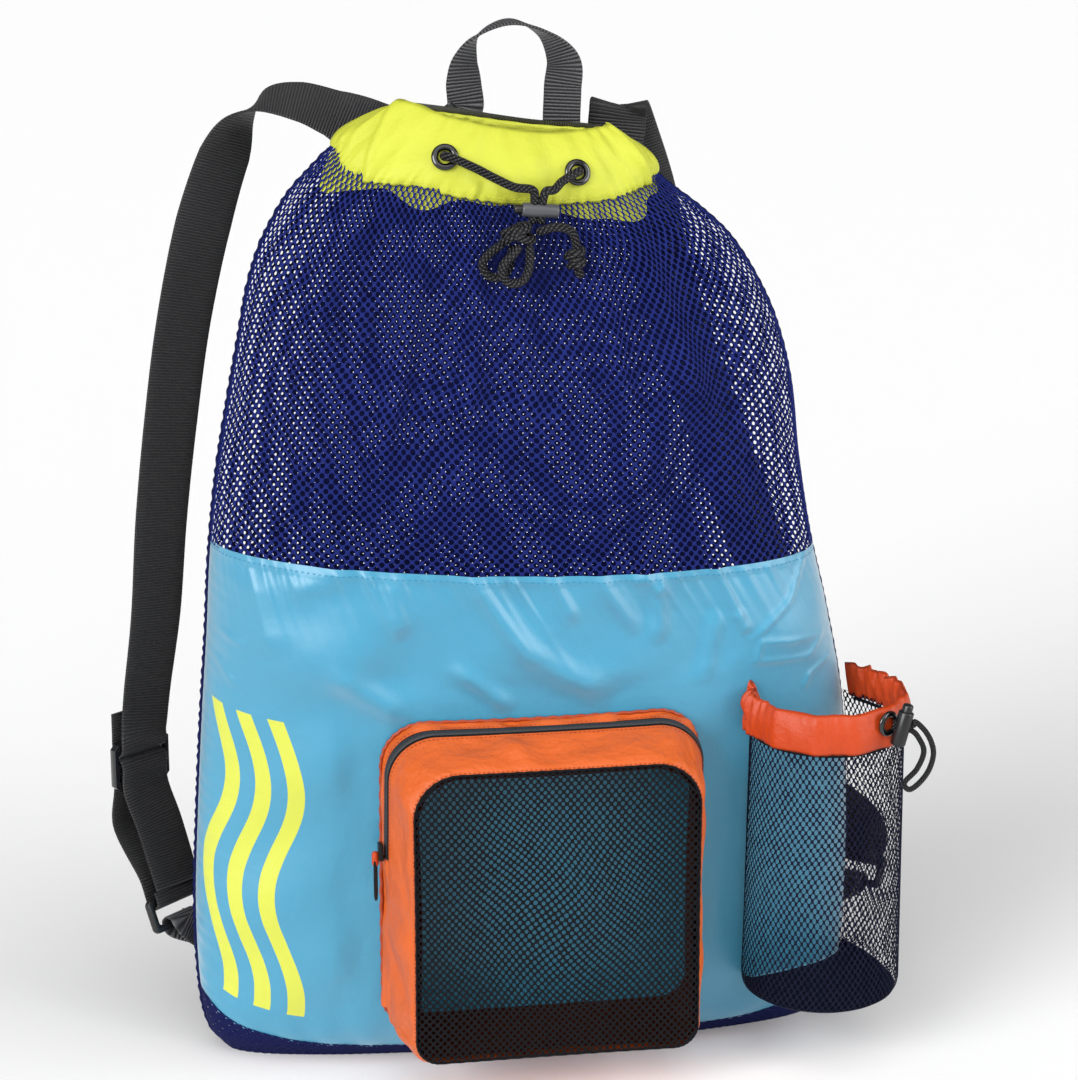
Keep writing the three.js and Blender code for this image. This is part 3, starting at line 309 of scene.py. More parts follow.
# calendered light-blue nylon: broad satin highlights, with plain wave stripes printed at the left
panelLook, panelTree, panelShader = nylonLook("blue_nylon", "#247FA0", {
    "Roughness": 0.5, "Specular IOR Level": 0.3, "Coat Weight": 0.9, "Coat Roughness": 0.42, "Coat IOR": 1.6,
    "Sheen Weight": 0.8, "Sheen Roughness": 0.42}, puckers=0.3)
waveStripes = {"places": (30, 52, 74), "wide": 11, "sway": 9, "period": 150, "low": 24, "high": 236,
               "ground": "#2784A5", "color": "#BCC22C"}


def printWaves(tree, shader, stripes):
    x, y = clothCoordinates(tree)[1:]
    phase = addNode(tree, "Math", {"operation": "MULTIPLY", 1: fullTurn / stripes["period"]}, {0: y})
    wave = addNode(tree, "Math", {"operation": "SINE"}, {0: phase})
    shift = addNode(tree, "Math", {"operation": "MULTIPLY_ADD", 1: -stripes["sway"]}, {0: wave, 2: x})
    spacing = stripes["places"][1] - stripes["places"][0]
    first = stripes["places"][0] - spacing / 2
    last = stripes["places"][-1] + spacing / 2
    local = addNode(tree, "Math", {"operation": "SUBTRACT", 1: first}, {0: shift})
    fold = addNode(tree, "Math", {"operation": "MODULO", 1: float(spacing)}, {0: local})
    off = addNode(tree, "Math", {"operation": "SUBTRACT", 1: spacing / 2}, {0: fold})
    away = addNode(tree, "Math", {"operation": "ABSOLUTE"}, {0: off})
    tests = [("LESS_THAN", away, stripes["wide"] / 2), ("GREATER_THAN", shift, first),
             ("LESS_THAN", shift, last), ("GREATER_THAN", y, stripes["low"]),
             ("LESS_THAN", y, stripes["high"])]
    mask = None
    for operation, source, limit in tests:
        test = addNode(tree, "Math", {"operation": operation, 1: float(limit)}, {0: source})
        if mask is None:
            mask = test
        else:
            mask = addNode(tree, "Math", {"operation": "MULTIPLY"}, {0: mask, 1: test})
    colors = {6: linear(stripes["ground"]), 7: linear(stripes["color"])}
    paint = addNode(tree, "Mix", {"data_type": "RGBA", **colors}, {0: mask})
    tree.links.new(paint.outputs[2], shader.inputs["Base Color"])


printWaves(panelTree, panelShader, waveStripes)
looks["panel"] = panelLook
print("materials made")

# The sack

bagSections = {
    "z": [0, 14, 40, 100, 170, 235, 295, 345, 400, 450, 490, 520, 545, 563, 580, 595, 610],
    "left": [-196, -207, -213, -215, -211.5, -207, -202, -198.5, -192, -183, -175, -169,
             -161, -152, -141, -127, -112],
    "right": [204, 216, 224, 227, 225.5, 220, 208, 196, 186.5, 180.5, 169.5, 155, 138, 119, 97, 82, 68],
    "front": [34, 50, 61, 66, 71, 77, 82, 85, 84, 79, 72, 65, 58, 53, 49, 45, 41],
    "back": [46, 54, 60, 64, 68, 71, 72, 72, 71, 68, 64, 59, 53, 48, 42, 38, 35],
}
rimEdge = {
    "place": [-1, -0.85, -0.66, -0.39, -0.17, 0.13, 0.6, 0.86, 1],
    "front": [607, 594, 589, 587, 580.5, 575.5, 575, 581, 585],
    "back": [607, 604, 602, 599, 598, 595, 590, 587, 585],
}
collarTopEdge = {
    "place": [-1, -0.9, -0.5, 0.27, 0.8, 0.92, 1],
    "front": [631, 637.5, 628, 617.5, 618, 619, 611],
    "back": [631, 629, 624, 615, 612, 611, 611],
}
panelBottomEdge = {
    "place": [-1, -0.94, -0.86, -0.7, -0.5, 0, 0.7, 0.9, 1],
    "z": [44, 30, 21, 13, 10, 9, 11, 24, 44],
}
panelTop = {"middle": 349, "tilt": -9, "dip": 2}
gathers = {"depth": 3.2, "count": 11, "second": 19, "start": 16, "reach": 95}
fullness = {"sack": 0.85, "rim": 1, "from": 470, "to": 590}


faceNames = {-1: "front", 1: "back"}


# where an angle round a face lies across it, from -1 at the left seam to 1 at the right
def place(phi):
    return -np.cos(phi)


def rimHeight(face, at):
    return smooth(rimEdge, "place", faceNames[face], at)


def panelTopHeight(at):
    return panelTop["middle"] + panelTop["tilt"] * at - panelTop["dip"] * (1 - at * at)


def panelBottomHeight(at):
    return smooth(panelBottomEdge, "place", "z", at)


# left and right edges of the sack at a height, and how full its section is
def sackAt(z):
    left, right = (smooth(bagSections, "z", column, z) for column in ("left", "right"))
    return left, right, mix(fullness["sack"], fullness["rim"], ease(fullness["from"], fullness["to"], z))


# outer surface of the sack: face -1 is the front, phi runs from the left seam to the right
def bagPoint(face, phi, z):
    left, right, full = sackAt(z)
    depth = smooth(bagSections, "z", faceNames[face], z)
    bow = np.maximum(np.sin(phi), 0)
    at = place(phi)
    p = stack(mix(left, right, (1 + at) / 2), face * depth * bow**full, z)
    below = np.maximum(rimHeight(face, at) - z, 0)
    fade = np.minimum(below / gathers["start"], 1) * np.exp(-below / gathers["reach"])
    wave = 0.6 * np.sin(gathers["count"] * phi + face) + 0.4 * np.sin(gathers["second"] * phi - face)
    outward = unit(stack(at * depth, face * bow * (right - left) / 2, 0 * z))
    return p + outward * (gathers["depth"] * fade * wave * bow)[..., None]


# depth of the plain front face at a place seen from the front
def frontY(x, z):
    left, right, full = sackAt(z)
    at = np.clip((2 * x - left - right) / (right - left), -1, 1)
    return -smooth(bagSections, "z", "front", z) * np.sqrt(1 - at * at) ** full


# soft folds of the front face, each a ridge from one point to another, seen from the front
netFolds = {
    "x0": [-95, -60, -30, 2, 35, 62, 80, -115, -120, 100, 0, -150, 150],
    "z0": [588, 580, 574, 570, 570, 572, 577, 592, 470, 480, 470, 520, 500],
    "x1": [-150, -95, -42, 10, 60, 110, 145, -170, -60, 60, 40, -130, 130],
    "z1": [470, 430, 440, 450, 440, 450, 500, 520, 380, 390, 380, 380, 380],
    "wide": [9, 9, 8, 8, 9, 9, 8, 7, 22, 20, 18, 18, 18],
    "high": [11, 12, 9, -8, 10, 12, 9, 7, 12, 12, 9, 8, 8],
}
panelFolds = {
    "x0": [-40, -6, -48, -126, -174, -203, -199, -119, 39, 69, 82, 117, 134, 114, 185, 172, 149, 151, 173,
           149, 188, 185, 189, 10, -90, -196, 128],
    "z0": [346, 297, 285, 283, 342, 307, 286, 351, 343, 344, 333, 346, 311, 272, 339, 313, 276, 289, 286,
           275, 272, 250, 259, 345, 346, 298, 300],
    "x1": [-6, 43, -17, -85, -165, -182, -188, -150, 64, 82, 81, 134, 141, 120, 172, 148, 151, 173, 198,
           188, 198, 189, 207, 24, -84, -100, 205],
    "z1": [297, 267, 261, 256, 300, 298, 270, 338, 309, 331, 300, 311, 298, 309, 313, 294, 289, 286, 285,
           272, 284, 259, 267, 318, 312, 290, 286],
    "wide": [7, 10, 6, 9, 14, 2.5, 2.5, 9, 6, 4.5, 6, 3.5, 4, 6, 2.5, 2.5, 2.2, 2.2, 2.2, 2.2, 2.2, 2.2, 2.2,
             5, 7, 26, 24],
    "high": [3.2, 3, 2.2, 2.8, 2.6, 0.9, 0.9, 2.2, 2.4, 2.2, 2.2, 1.8, 1.6, 1.8, 1.1, 1.1, 0.7, 0.7, 0.7,
             0.7, 0.7, 0.7, 0.7, 2, 2.2, 4.6, 3],
}


def foldHeight(folds, x, z):
    total = np.zeros(np.shape(x))
    for x0, z0, x1, z1, wide, high in zip(*(folds[k] for k in ("x0", "z0", "x1", "z1", "wide", "high"))):
        run = math.hypot(x1 - x0, z1 - z0)
        along = ((x - x0) * (x1 - x0) + (z - z0) * (z1 - z0)) / run**2
        off = ((x - x0) * (z1 - z0) - (z - z0) * (x1 - x0)) / run
        ends = ease(-0.25, 0.2, along) * (1 - ease(0.8, 1.25, along))
        total += high * ends * bell(off, 0, wide)
    return total


# places on a face at even steps along the cloth: share runs across, t from the lower edge to the upper
def clothMap(surface, levels=40, samples=220):
    phi = np.linspace(0, np.pi, samples)
    rows = []
    for t in np.linspace(0, 1, levels):
        length = lengthAlong(surface(phi, np.full(samples, t)))
        rows.append(np.interp(np.linspace(0, 1, samples), length / length[-1], phi))
    table = np.array(rows)

    def at(share, t):
        x = np.clip(share, 0, 1) * (samples - 1)
        y = np.clip(t, 0, 1) * (levels - 1)
        i = np.minimum(x.astype(int), samples - 2)
        j = np.minimum(y.astype(int), levels - 2)
        u, v = x - i, y - j
        low = mix(table[j, i], table[j, i + 1], u)
        return surface(mix(low, mix(table[j + 1, i], table[j + 1, i + 1], u), v), np.clip(t, 0, 1))

    return at


def normalsOf(surface, share, t, step=0.004):
    across = surface(share + step, t) - surface(share - step, t)
    rise = surface(share, t + step) - surface(share, t - step)
    return unit(np.cross(across, rise))


# knitted netting: diamond cells with oval holes, each strand a low ridge between two holes
def netting(surface, net, flip=False, wander=0.0):
    width, height, pitch, hole, ridge = (net[k] for k in ("wide", "tall", "pitch", "hole", "ridge"))
    columns = max(2, round(2 * width / pitch[0]))
    rows = max(2, round(2 * height / pitch[1]))
    a, b = np.meshgrid(np.arange(columns + 1), np.arange(rows + 1), indexing="ij")
    isCell = (a + b) % 2 == 0
    cellA, cellB = a[isCell], b[isCell]
    turn = np.arange(8) * math.pi / 4
    stretch = hole + net.get("sides", 0.0) * ease(0.45, 1, np.abs(2 * cellA / columns - 1))
    size = (stretch * (1 + 0.06 * noise.standard_normal(len(cellA))))[:, None]
    ringS = ((cellA[:, None] + size * np.cos(turn)) / columns).ravel()
    ringT = ((cellB[:, None] + size * np.sin(turn)) / rows).ravel()
    stepA, stepB = np.array([1, 0, -1, 0]), np.array([0, 1, 0, -1])
    key = (cellA[:, None] + stepA + 1) * (rows + 3) + cellB[:, None] + stepB + 1
    known, corner = np.unique(key, return_inverse=True)
    corner = corner.reshape(key.shape)
    cornerS = (known // (rows + 3) - 1) / columns
    cornerT = (known % (rows + 3) - 1) / rows
    s = np.concatenate([ringS, cornerS])
    t = np.concatenate([ringT, cornerT])
    # the knit drifts a little off its lines, so two layers don't show even bands
    drift = np.sin(np.pi * np.clip(s, 0, 1)) * np.sin(np.pi * np.clip(t, 0, 1))
    s0, t0 = s, t
    s = np.clip(s0 + drift * 4 / width * np.sin(9 * t0 + 5 * s0 + wander), 0, 1)
    t = np.clip(t0 + drift * 4 / height * np.sin(11 * s0 - 4 * t0 + 2 * wander), 0, 1)
    points = surface(s, t)
    raised = np.concatenate([np.zeros(len(ringS)), np.full(len(cornerS), ridge)])
    out = normalsOf(surface, s, t) * (-1 if flip else 1)
    points = points + out * raised[:, None]
    ring = np.arange(len(ringS)).reshape(-1, 8)
    corner = corner + len(ringS)
    faces = []
    for k in range(4):
        here, after = corner[:, k], corner[:, (k + 1) % 4]
        r0, r1, r2 = ring[:, 2 * k], ring[:, 2 * k + 1], ring[:, (2 * k + 2) % 8]
        faces += [np.stack([r0, here, r1], 1), np.stack([here, after, r1], 1), np.stack([r1, after, r2], 1)]
    faces = np.vstack(faces)
    return points, faces[:, ::-1] if flip else faces


def netPiece(name, surface, net, look, slot, replaces=(), **ways):
    points, faces = netting(surface, net, **ways)
    return piece(name, points, faces, look, replaces)


# plain cloth over the same kind of surface
def clothGrid(surface, columns, rows, width, height):
    s, t = np.meshgrid(np.linspace(0, 1, columns + 1), np.linspace(0, 1, rows + 1), indexing="ij")
    points = surface(s.ravel(), t.ravel())
    uv = np.stack([s.ravel() * width, t.ravel() * height], axis=1)
    return points, gridFaces(columns, rows), uv


# small sewn stitches along a line of points on a surface
def stitchRow(name, line, out, look, long=2.2, gap=1.1, thick=0.45):
    length = lengthAlong(line)
    starts = np.arange(0, length[-1] - long, long + gap)
    parts = []
    for start in starts:
        ends = np.array([start, start + long / 2, start + long])
        p = np.stack([np.interp(ends, length, line[:, k]) for k in range(3)], axis=1)
        n = unit(np.array([np.interp(start + long / 2, length, out[:, k]) for k in range(3)]))
        side = unit(np.cross(n, p[2] - p[0])) * thick
        ring = np.array([p[0], p[1] + side, p[1] + n * thick, p[1] - side, p[2]])
        parts.append((ring, [[0, 1, 2], [0, 2, 3], [4, 2, 1], [4, 3, 2]]))
    points, faces = joined(parts)
    return piece(name, points, faces, look)


frontNet = {"wide": 440, "tall": 258, "pitch": (5.9, 6.7), "hole": 0.6, "ridge": 0.45}
bowArea = {"x": -2, "z": 552, "wide": 40, "tall": 30}


# height of the folds, which flatten behind the bow and towards the rim
def netLift(phi, p):
    x, z = p[:, 0], p[:, 2]
    aside = (x - bowArea["x"]) / bowArea["wide"]
    above = (z - bowArea["z"]) / bowArea["tall"]
    behindBow = np.exp(-(aside**2) - above**2)
    nearRim = ease(-35, -8, z - rimHeight(-1, place(phi)))
    return foldHeight(netFolds, x, z) * np.sin(phi) * (1 - 0.6 * nearRim) * (1 - 0.95 * behindBow)


def frontNetSurface(phi, t):
    at = place(phi)
    p = bagPoint(-1, phi, mix(panelTopHeight(at) - 2, rimHeight(-1, at) + 5, t))
    lift = netLift(phi, p)
    return p + stack(0 * lift, -lift, 0 * lift)


made = netPiece("front_netting", clothMap(frontNetSurface), frontNet, "blueNet", "blue_netting",
                ["front_net"])

frontPanel = {"wide": 470, "tall": 345, "columns": 290, "rows": 200, "hem": 0.985}

# broad soft billows, clear of the pocket and the sleeve: each span is where they fade
billowFades = {"pocketLeft": (-130, -108), "pocketRight": (118, 138), "pocketTop": (262, 282),
               "sleeveLeft": (112, 138), "sleeveTop": (268, 290)}
panelHeights = {"broadBillow": 3.2, "smallBillow": 1.7, "folds": 1.8, "pleats": 4.6, "crimps": 0.8,
                "hem": 0.8, "ripples": 1.7, "lowEdge": 1.3}


def billows(x, z):
    pocketHere = ease(*billowFades["pocketLeft"], x) * (1 - ease(*billowFades["pocketRight"], x))
    pocketHere = pocketHere * (1 - ease(*billowFades["pocketTop"], z))
    sleeveHere = ease(*billowFades["sleeveLeft"], x) * (1 - ease(*billowFades["sleeveTop"], z))
    swell = panelHeights["broadBillow"] * np.sin(x / 31 + z / 43 + 0.8) * np.sin(z / 37 - x / 90 + 0.4)
    swell += panelHeights["smallBillow"] * np.sin(x / 17 - z / 26 + 2.1) * np.sin(z / 21 + 0.5)
    return swell * (1 - pocketHere) * (1 - sleeveHere)


def panelSurface(phi, t):
    at = place(phi)
    p = bagPoint(-1, phi, mix(panelBottomHeight(at), panelTopHeight(at), t))
    x, z = p[:, 0], p[:, 2]
    bow = np.sin(phi)
    lift = panelHeights["folds"] * foldHeight(panelFolds, x, z) * np.minimum(bow * 3, 1)
    lift += billows(x, z) * np.minimum(bow * 2, 1) * np.minimum(t * 12, 1) * np.minimum((1 - t) * 12, 1)
    # the stitched seam draws the cloth into short uneven pleats that lean to the right
    seam = np.exp(-(1 - t) * 17) * np.minimum((1 - t) * 60, 1)
    run = phi - 0.9 * (1 - t)
    ridges = np.exp(-5 * np.sin(37 * run + 1.4 * np.sin(9 * run)) ** 2) * (0.6 + 0.4 * np.sin(13 * run + 1))
    crimps = np.sin(97 * run + 2 * np.sin(17 * run))
    lift += seam * bow * (panelHeights["pleats"] * ridges + panelHeights["crimps"] * crimps)
    lift += panelHeights["hem"] * ease(frontPanel["hem"] - 0.006, frontPanel["hem"], t)  # folded edge
    # short ripples where the side seams draw it in
    ripples = np.exp(-8 * np.minimum(phi, np.pi - phi)) * np.minimum(bow * 12, 1)
    waves = np.sin(z * fullTurn / 12 + 14 * phi + 1.5 * np.sin(z * fullTurn / 47))
    lift += panelHeights["ripples"] * ripples * waves
    low = np.exp(-t * 16) * np.minimum(t * 40, 1)
    lift += panelHeights["lowEdge"] * low * np.sin(31 * phi + 1.7 * np.sin(7 * phi)) * bow
    return p + stack(0 * lift, -lift, 0 * lift)


panelMap = clothMap(panelSurface)
points, faces, uv = clothGrid(panelMap, frontPanel["columns"], frontPanel["rows"],
                              frontPanel["wide"], frontPanel["tall"])
made = piece("front_panel_cloth", points, faces, "panel", ["front_panel"], uv=uv)

shares = np.linspace(0.004, 0.996, 900)
hemLine = panelMap(shares, np.full(900, frontPanel["hem"] + 0.003)) + [0, -0.25, 0]
hemOut = normalsOf(panelMap, shares, np.full(900, 0.97))
stitchRow("panel_stitches", hemLine, hemOut, "blueThread", long=2.6, gap=1.4, thick=0.5)

backNet = {"wide": 450, "tall": 600, "pitch": (5.9, 6.7), "hole": 0.13, "sides": 0.34, "ridge": 0.45}


def backSurface(phi, t):
    z = mix(0.0, rimHeight(1, place(phi)) + 5, t)
    return bagPoint(1, phi, z)


made = netPiece("back_netting", clothMap(backSurface, 60), backNet, "navyNet", "navy_netting", ["back_net"],
                flip=True, wander=2.1)

baseNet = {**backNet, "wide": 430, "tall": 118, "sides": 0.0}
baseShare, stripShare = 0.62, 0.38


# base and the strip that comes up to the lower edge of the front panel
def baseSurface(phi, t):
    at = place(phi)
    under = np.clip(t / baseShare, 0, 1)
    up = np.clip((t - baseShare) / stripShare, 0, 1)
    floor = mix(bagPoint(1, phi, 0 * phi), bagPoint(-1, phi, 0 * phi), under[:, None])
    rise = bagPoint(-1, phi, up * (panelBottomHeight(at) + 3))
    return np.where((t < baseShare)[:, None], floor, rise)


made = netPiece("base_netting", clothMap(baseSurface), baseNet, "navyNet", "navy_netting")

# rolled seam down each side: the edge of the netting, puckered by its stitches into small scallops
sideSeam = {"wide": 2.6, "deep": 1.1, "out": 0.6, "swell": 0.35, "pucker": 0.8, "period": 7.5, "rows": 560}
for side, phi, sign in (("left", 0.0, -1), ("right", math.pi, 1)):
    z = np.linspace(6, rimHeight(1, np.array([sign]))[0] - 1, sideSeam["rows"])
    spine = bagPoint(1, np.full(len(z), phi), z)
    along = lengthAlong(spine) * fullTurn / sideSeam["period"]
    wave = np.sin(along + 0.7 * np.sin(along / 3.1))
    turn = np.linspace(0, fullTurn, 9)[:-1]
    reach = sideSeam["wide"] / 2 + sideSeam["swell"] * wave
    ring = np.stack([np.cos(turn), np.sin(turn)])
    x = spine[:, 0:1] + sign * sideSeam["out"] + reach[:, None] * ring[0]
    y = spine[:, 1:2] + sideSeam["pucker"] * wave[:, None] + sideSeam["deep"] * ring[1]
    points = stack(x, y, spine[:, 2:3]).reshape(-1, 3)
    piece("seam_" + side, points, gridFaces(len(z) - 1, 8, closeRows=True), "navyNet")
print("sack made")

# Collar, eyelets and neck tape

mouth = {"centre": -7, "half": 73, "front": 30, "back": 20}
collar = {"halfThick": 6.5, "puff": 2.6, "columns": 230, "rows": 24, "columnStep": 1.25, "rowStep": 1.9}
eyeletSize = {"outer": 8.5, "hole": 4.2, "face": 1.7, "clear": 0.5}
eyeletPlaces = {"left": (-0.355, 0.49), "right": (0.446, 0.46)}


# a rise from 0 at one edge to 1 in the middle and back
def hump(up):
    return np.maximum(np.sin(np.pi * np.clip(up, 0, 1)), 0)


# half thickness of the collar up its height
def lens(up):
    return collar["halfThick"] * hump(up) ** 0.6


# a place on the collar: up runs from the rim to the top edge, out is the distance off its middle layer
def collarPoint(face, phi, up, out):
    at = place(phi)
    bow = np.maximum(np.sin(phi), 0)
    low = bagPoint(face, phi, rimHeight(face, at))
    depth = mouth[faceNames[face]]
    top = smooth(collarTopEdge, "place", faceNames[face], at)
    high = stack(mouth["centre"] + mouth["half"] * at, face * depth * bow, top)
    outward = unit(stack(at * depth, face * bow * mouth["half"], 0 * at))
    return mix(low, high, up[..., None]) + outward * (out + collar["puff"] * hump(up))[..., None]


# a stepped crease where cloth folds back: a ridge, then a drop behind it
def foldedBack(edge):
    return 1.6 * bell(edge, 0.03, 0.03) - 3.1 * (1 - ease(-0.02, 0.015, edge))


# folds of the collar: soft waves that stay flat round the eyelets, ends that fold back behind a crease,
# creases where the lock pulls, and puckers along its stitched lower edge
def collarFolds(face, phi, up):
    at = place(phi)
    calm = 1 - sum(bell(at, eyeletAt, 0.1) for eyeletAt, height in eyeletPlaces.values())
    soft = 2.0 * np.sin(5 * phi + 2.2 * up + face) + 1.4 * np.sin(13 * phi - 3 * up)
    soft = calm * (soft + 0.6 * np.sin(31 * phi + 5 * up))
    left, right = at + 0.70 + 0.24 * up, 0.91 - 0.02 * up - at
    crease = sum(foldedBack(edge) for edge in (left, right))
    pull = 1.7 * np.exp(-(((at + 0.02) / 0.11) ** 2) - ((up - 0.2) / 0.16) ** 2) * np.sin(52 * at + 10 * up)
    pucker = np.exp(-up * 9) * (0.9 * np.sin(74 * phi + 2 * np.sin(13 * phi)) + 0.5 * np.sin(121 * phi))
    rim = np.exp(-(1 - up) * 7) * 1.3 * np.sin(33 * phi + 3 * np.sin(5 * phi))
    front = (crease + pull) * (face < 0)
    total = (soft * hump(up) + front + pucker + rim) * ease(0, 0.3, np.sin(phi))
    return np.maximum(total, 3.2 - lens(up) - 12 * (1 - hump(up)))  # never in as far as the cord


# section of a tunnel: heights and sides, up its outer wall and down its inner one
def tunnelSection(rows):
    return np.concatenate([rows, rows[1:-1][::-1]]), np.repeat([1, -1], [len(rows), len(rows) - 2])


ups, sides = tunnelSection(np.linspace(0, 1, collar["rows"]))
count = collar["columns"]
halves = []
for face, ends in ((-1, (0, np.pi)), (1, (np.pi, 0))):
    phi = np.repeat(np.linspace(*ends, count + 1)[:-1], len(ups))
    up, side = np.tile(ups, count), np.tile(sides, count)
    halves.append(collarPoint(face, phi, up, side * lens(up) + collarFolds(face, phi, up)))
girth = np.repeat(np.arange(2 * count) * collar["columnStep"], len(ups))
uv = np.stack([girth, np.tile(np.arange(len(ups)) * collar["rowStep"], 2 * count)], axis=1)
faces = gridFaces(2 * count, len(ups), closeColumns=True, closeRows=True)
made = piece("collar_tunnel", np.vstack(halves), faces, "yellow", ["collar"], uv=uv)

collarSeam = {"up": 0.09, "ends": 0.16, "lift": 0.25, "count": 420}
phi = np.linspace(collarSeam["ends"], np.pi - collarSeam["ends"], collarSeam["count"])
ups = np.full(collarSeam["count"], collarSeam["up"])
reach = lens(ups) + collarFolds(-1, phi, ups)
line = collarPoint(-1, phi, ups, reach)
out = collarPoint(-1, phi, ups, reach + 1) - line
stitchRow("collar_stitches", line + out * collarSeam["lift"], out, "yellowThread")


# yellow facing inside the mouth, whose lower edge shows through the netting
def facingSurface(share, t):
    phi = mix(0.22, np.pi - 0.22, share)
    at = place(phi)
    fall = 3 + 12 * bell(at, -0.85, 0.13) + 11 * bell(at, -0.37, 0.17) + 13 * bell(at, 0.6, 0.26)
    fall = fall + 1.5 * np.sin(17 * phi)
    p = bagPoint(-1, phi, rimHeight(-1, place(phi)) + 3 - fall * (1 - t))
    return p + stack(0, 1.8 - netLift(phi, p), 0)


points, faces, uv = clothGrid(facingSurface, columns=160, rows=8, width=230, height=14)
piece("collar_facing", points, faces, "yellow", uv=uv)


# turned shape about an axis through a point
def lathe(profile, at, axis, segments=48):
    axis = np.array(axis, float)
    side = unit(np.cross(axis, [0.31, 0.57, 0.76]))
    other = np.cross(axis, side)
    turn = np.arange(segments) * fullTurn / segments
    spokes = np.cos(turn)[:, None] * side + np.sin(turn)[:, None] * other
    points = [np.array(at) + spokes * r + axis * h for r, h in profile]
    points = np.stack(points, axis=1).reshape(-1, 3)
    return points, gridFaces(segments, len(profile) - 1, closeColumns=True)


# section of an eyelet: a domed face and a short neck
def ringProfile(hole, outer, face):
    arc = np.linspace(0, np.pi, 13)
    middle, half = (hole + outer) / 2, (outer - hole) / 2
    dome = [(middle - half * math.cos(a), face * math.sin(a)) for a in arc]
    return dome + [(outer - 0.2, -0.6), (hole + 0.2, -2.4)]


# middle and outward direction of an eyelet on the front of the collar
def eyeletFrame(at, up):
    def surface(turn, rise):
        ups = np.array([up]) + rise
        return collarPoint(-1, np.array([math.acos(-at)]) + turn, ups, lens(ups))[0]

    normal = unit(np.cross(surface(0.02, 0) - surface(-0.02, 0), surface(0, 0.02) - surface(0, -0.02)))
    return surface(0, 0), normal


eyeletFrames = {}
eyeletProfile = ringProfile(eyeletSize["hole"], eyeletSize["outer"], eyeletSize["face"])
for side, (at, up) in eyeletPlaces.items():
    middle, normal = eyeletFrame(at, up)
    eyeletFrames[side] = (middle, normal)
    points, faces = lathe(eyeletProfile, middle + normal * (eyeletSize["clear"] + 0.6), normal)
    piece("eyelet_ring_" + side, points, faces, "eyelet", ["eyelet_" + side])
    well, wellFaces = lathe([(0.0, -0.2), (eyeletSize["hole"] + 0.6, -0.2)], middle + normal * 0.2, normal)
    piece("eyelet_well_" + side, well, wellFaces, "yellow")

neckTape = {"from": 3 * math.pi / 20, "to": 17 * math.pi / 20, "low": 0.5, "high": 1.14, "clear": 0.5}
tapeSide = 2.4


def tapeSurface(share, t):
    phi = mix(neckTape["from"], neckTape["to"], share)
    up = mix(neckTape["low"], neckTape["high"], t)
    return collarPoint(1, phi, up, lens(up) + neckTape["clear"] + 1.6)


points, faces, uv = clothGrid(tapeSurface, columns=120, rows=10, width=180, height=20)
piece("neck_tape_webbing", points, faces, "loopWebbing", ["neck_tape"], uv=uv[:, ::-1])
print("collar made")

# Cords


# braided tube along a curve, with its own length as the second cloth coordinate
def cordTube(route, diameter, count, sides=14, ends=True):
    path = curve(route, count)
    tangent = unit(np.gradient(path, axis=0))
    side = unit(np.cross(tangent[0], [0.2, 0.9, 0.35]))
    turn = np.arange(sides + 1) * fullTurn / sides
    length = lengthAlong(path)
    rings = []
    for k in range(count):
        side = unit(side - tangent[k] * np.dot(side, tangent[k]))
        other = np.cross(tangent[k], side)
        closing = 1.0
        if ends:
            near = min(length[k], length[-1] - length[k]) / (diameter / 2)
            closing = math.sqrt(max(1 - max(1 - near, 0) ** 2, 0.02))
        spokes = np.cos(turn)[:, None] * side + np.sin(turn)[:, None] * other
        rings.append(path[k] + spokes * diameter / 2 * closing)
    points = np.vstack(rings)
    uv = np.stack([np.tile(turn * diameter / 2, count), np.repeat(length, sides + 1)], axis=1)
    return points, gridFaces(count - 1, sides), uv, path


# a cord: a braided tube laid along its route
def lay(name, route, diameter, look, replaces, count=90):
    points, faces, uv, path = cordTube(route, diameter, count)
    made = piece(name, points, faces, look, replaces, uv=uv)
    lengthAlong(path)[-1] * metre


cordDiameter = 5.5
drawLock = {"at": (6.8, -63.5, 574.4), "tilt": math.radians(5)}
lockShapes = {"draw_lock": {"outer": 4.4, "half": 11.5, "proud": 5.0},
              "sleeve_lock": {"outer": 5.0, "half": 11.5, "proud": 5.0}}
lockTurn = np.array([[math.cos(drawLock["tilt"]), 0, math.sin(drawLock["tilt"])], [0, 1, 0],
                     [-math.sin(drawLock["tilt"]), 0, math.cos(drawLock["tilt"])]])


def inLock(x, y, z):
    return np.array(drawLock["at"]) + lockTurn @ np.array([x, y, z])


leadRoutes = {
    "left": [[-33, -54.5, 600.5], [-20, -60, 594], [-9, -62.5, 589]],
    "right": [[21.5, -56, 590.5], [15.5, -61.5, 586.5]],
}
leadPlaces = {"left": (-4.15, -1.4), "right": (1.15, 1.4)}
for side, free in leadRoutes.items():
    middle, normal = eyeletFrames[side]
    place0, spread = leadPlaces[side]
    through = [inLock(place0 + spread, 0, 12), inLock(place0, 0, 7), inLock(place0, 0, -9.1)]
    route = [middle - normal * 1.2, middle + normal * 4.5, *np.array(free), *through]
    lay("drawcord_" + side, route, cordDiameter, "braid", ["cord_" + side])


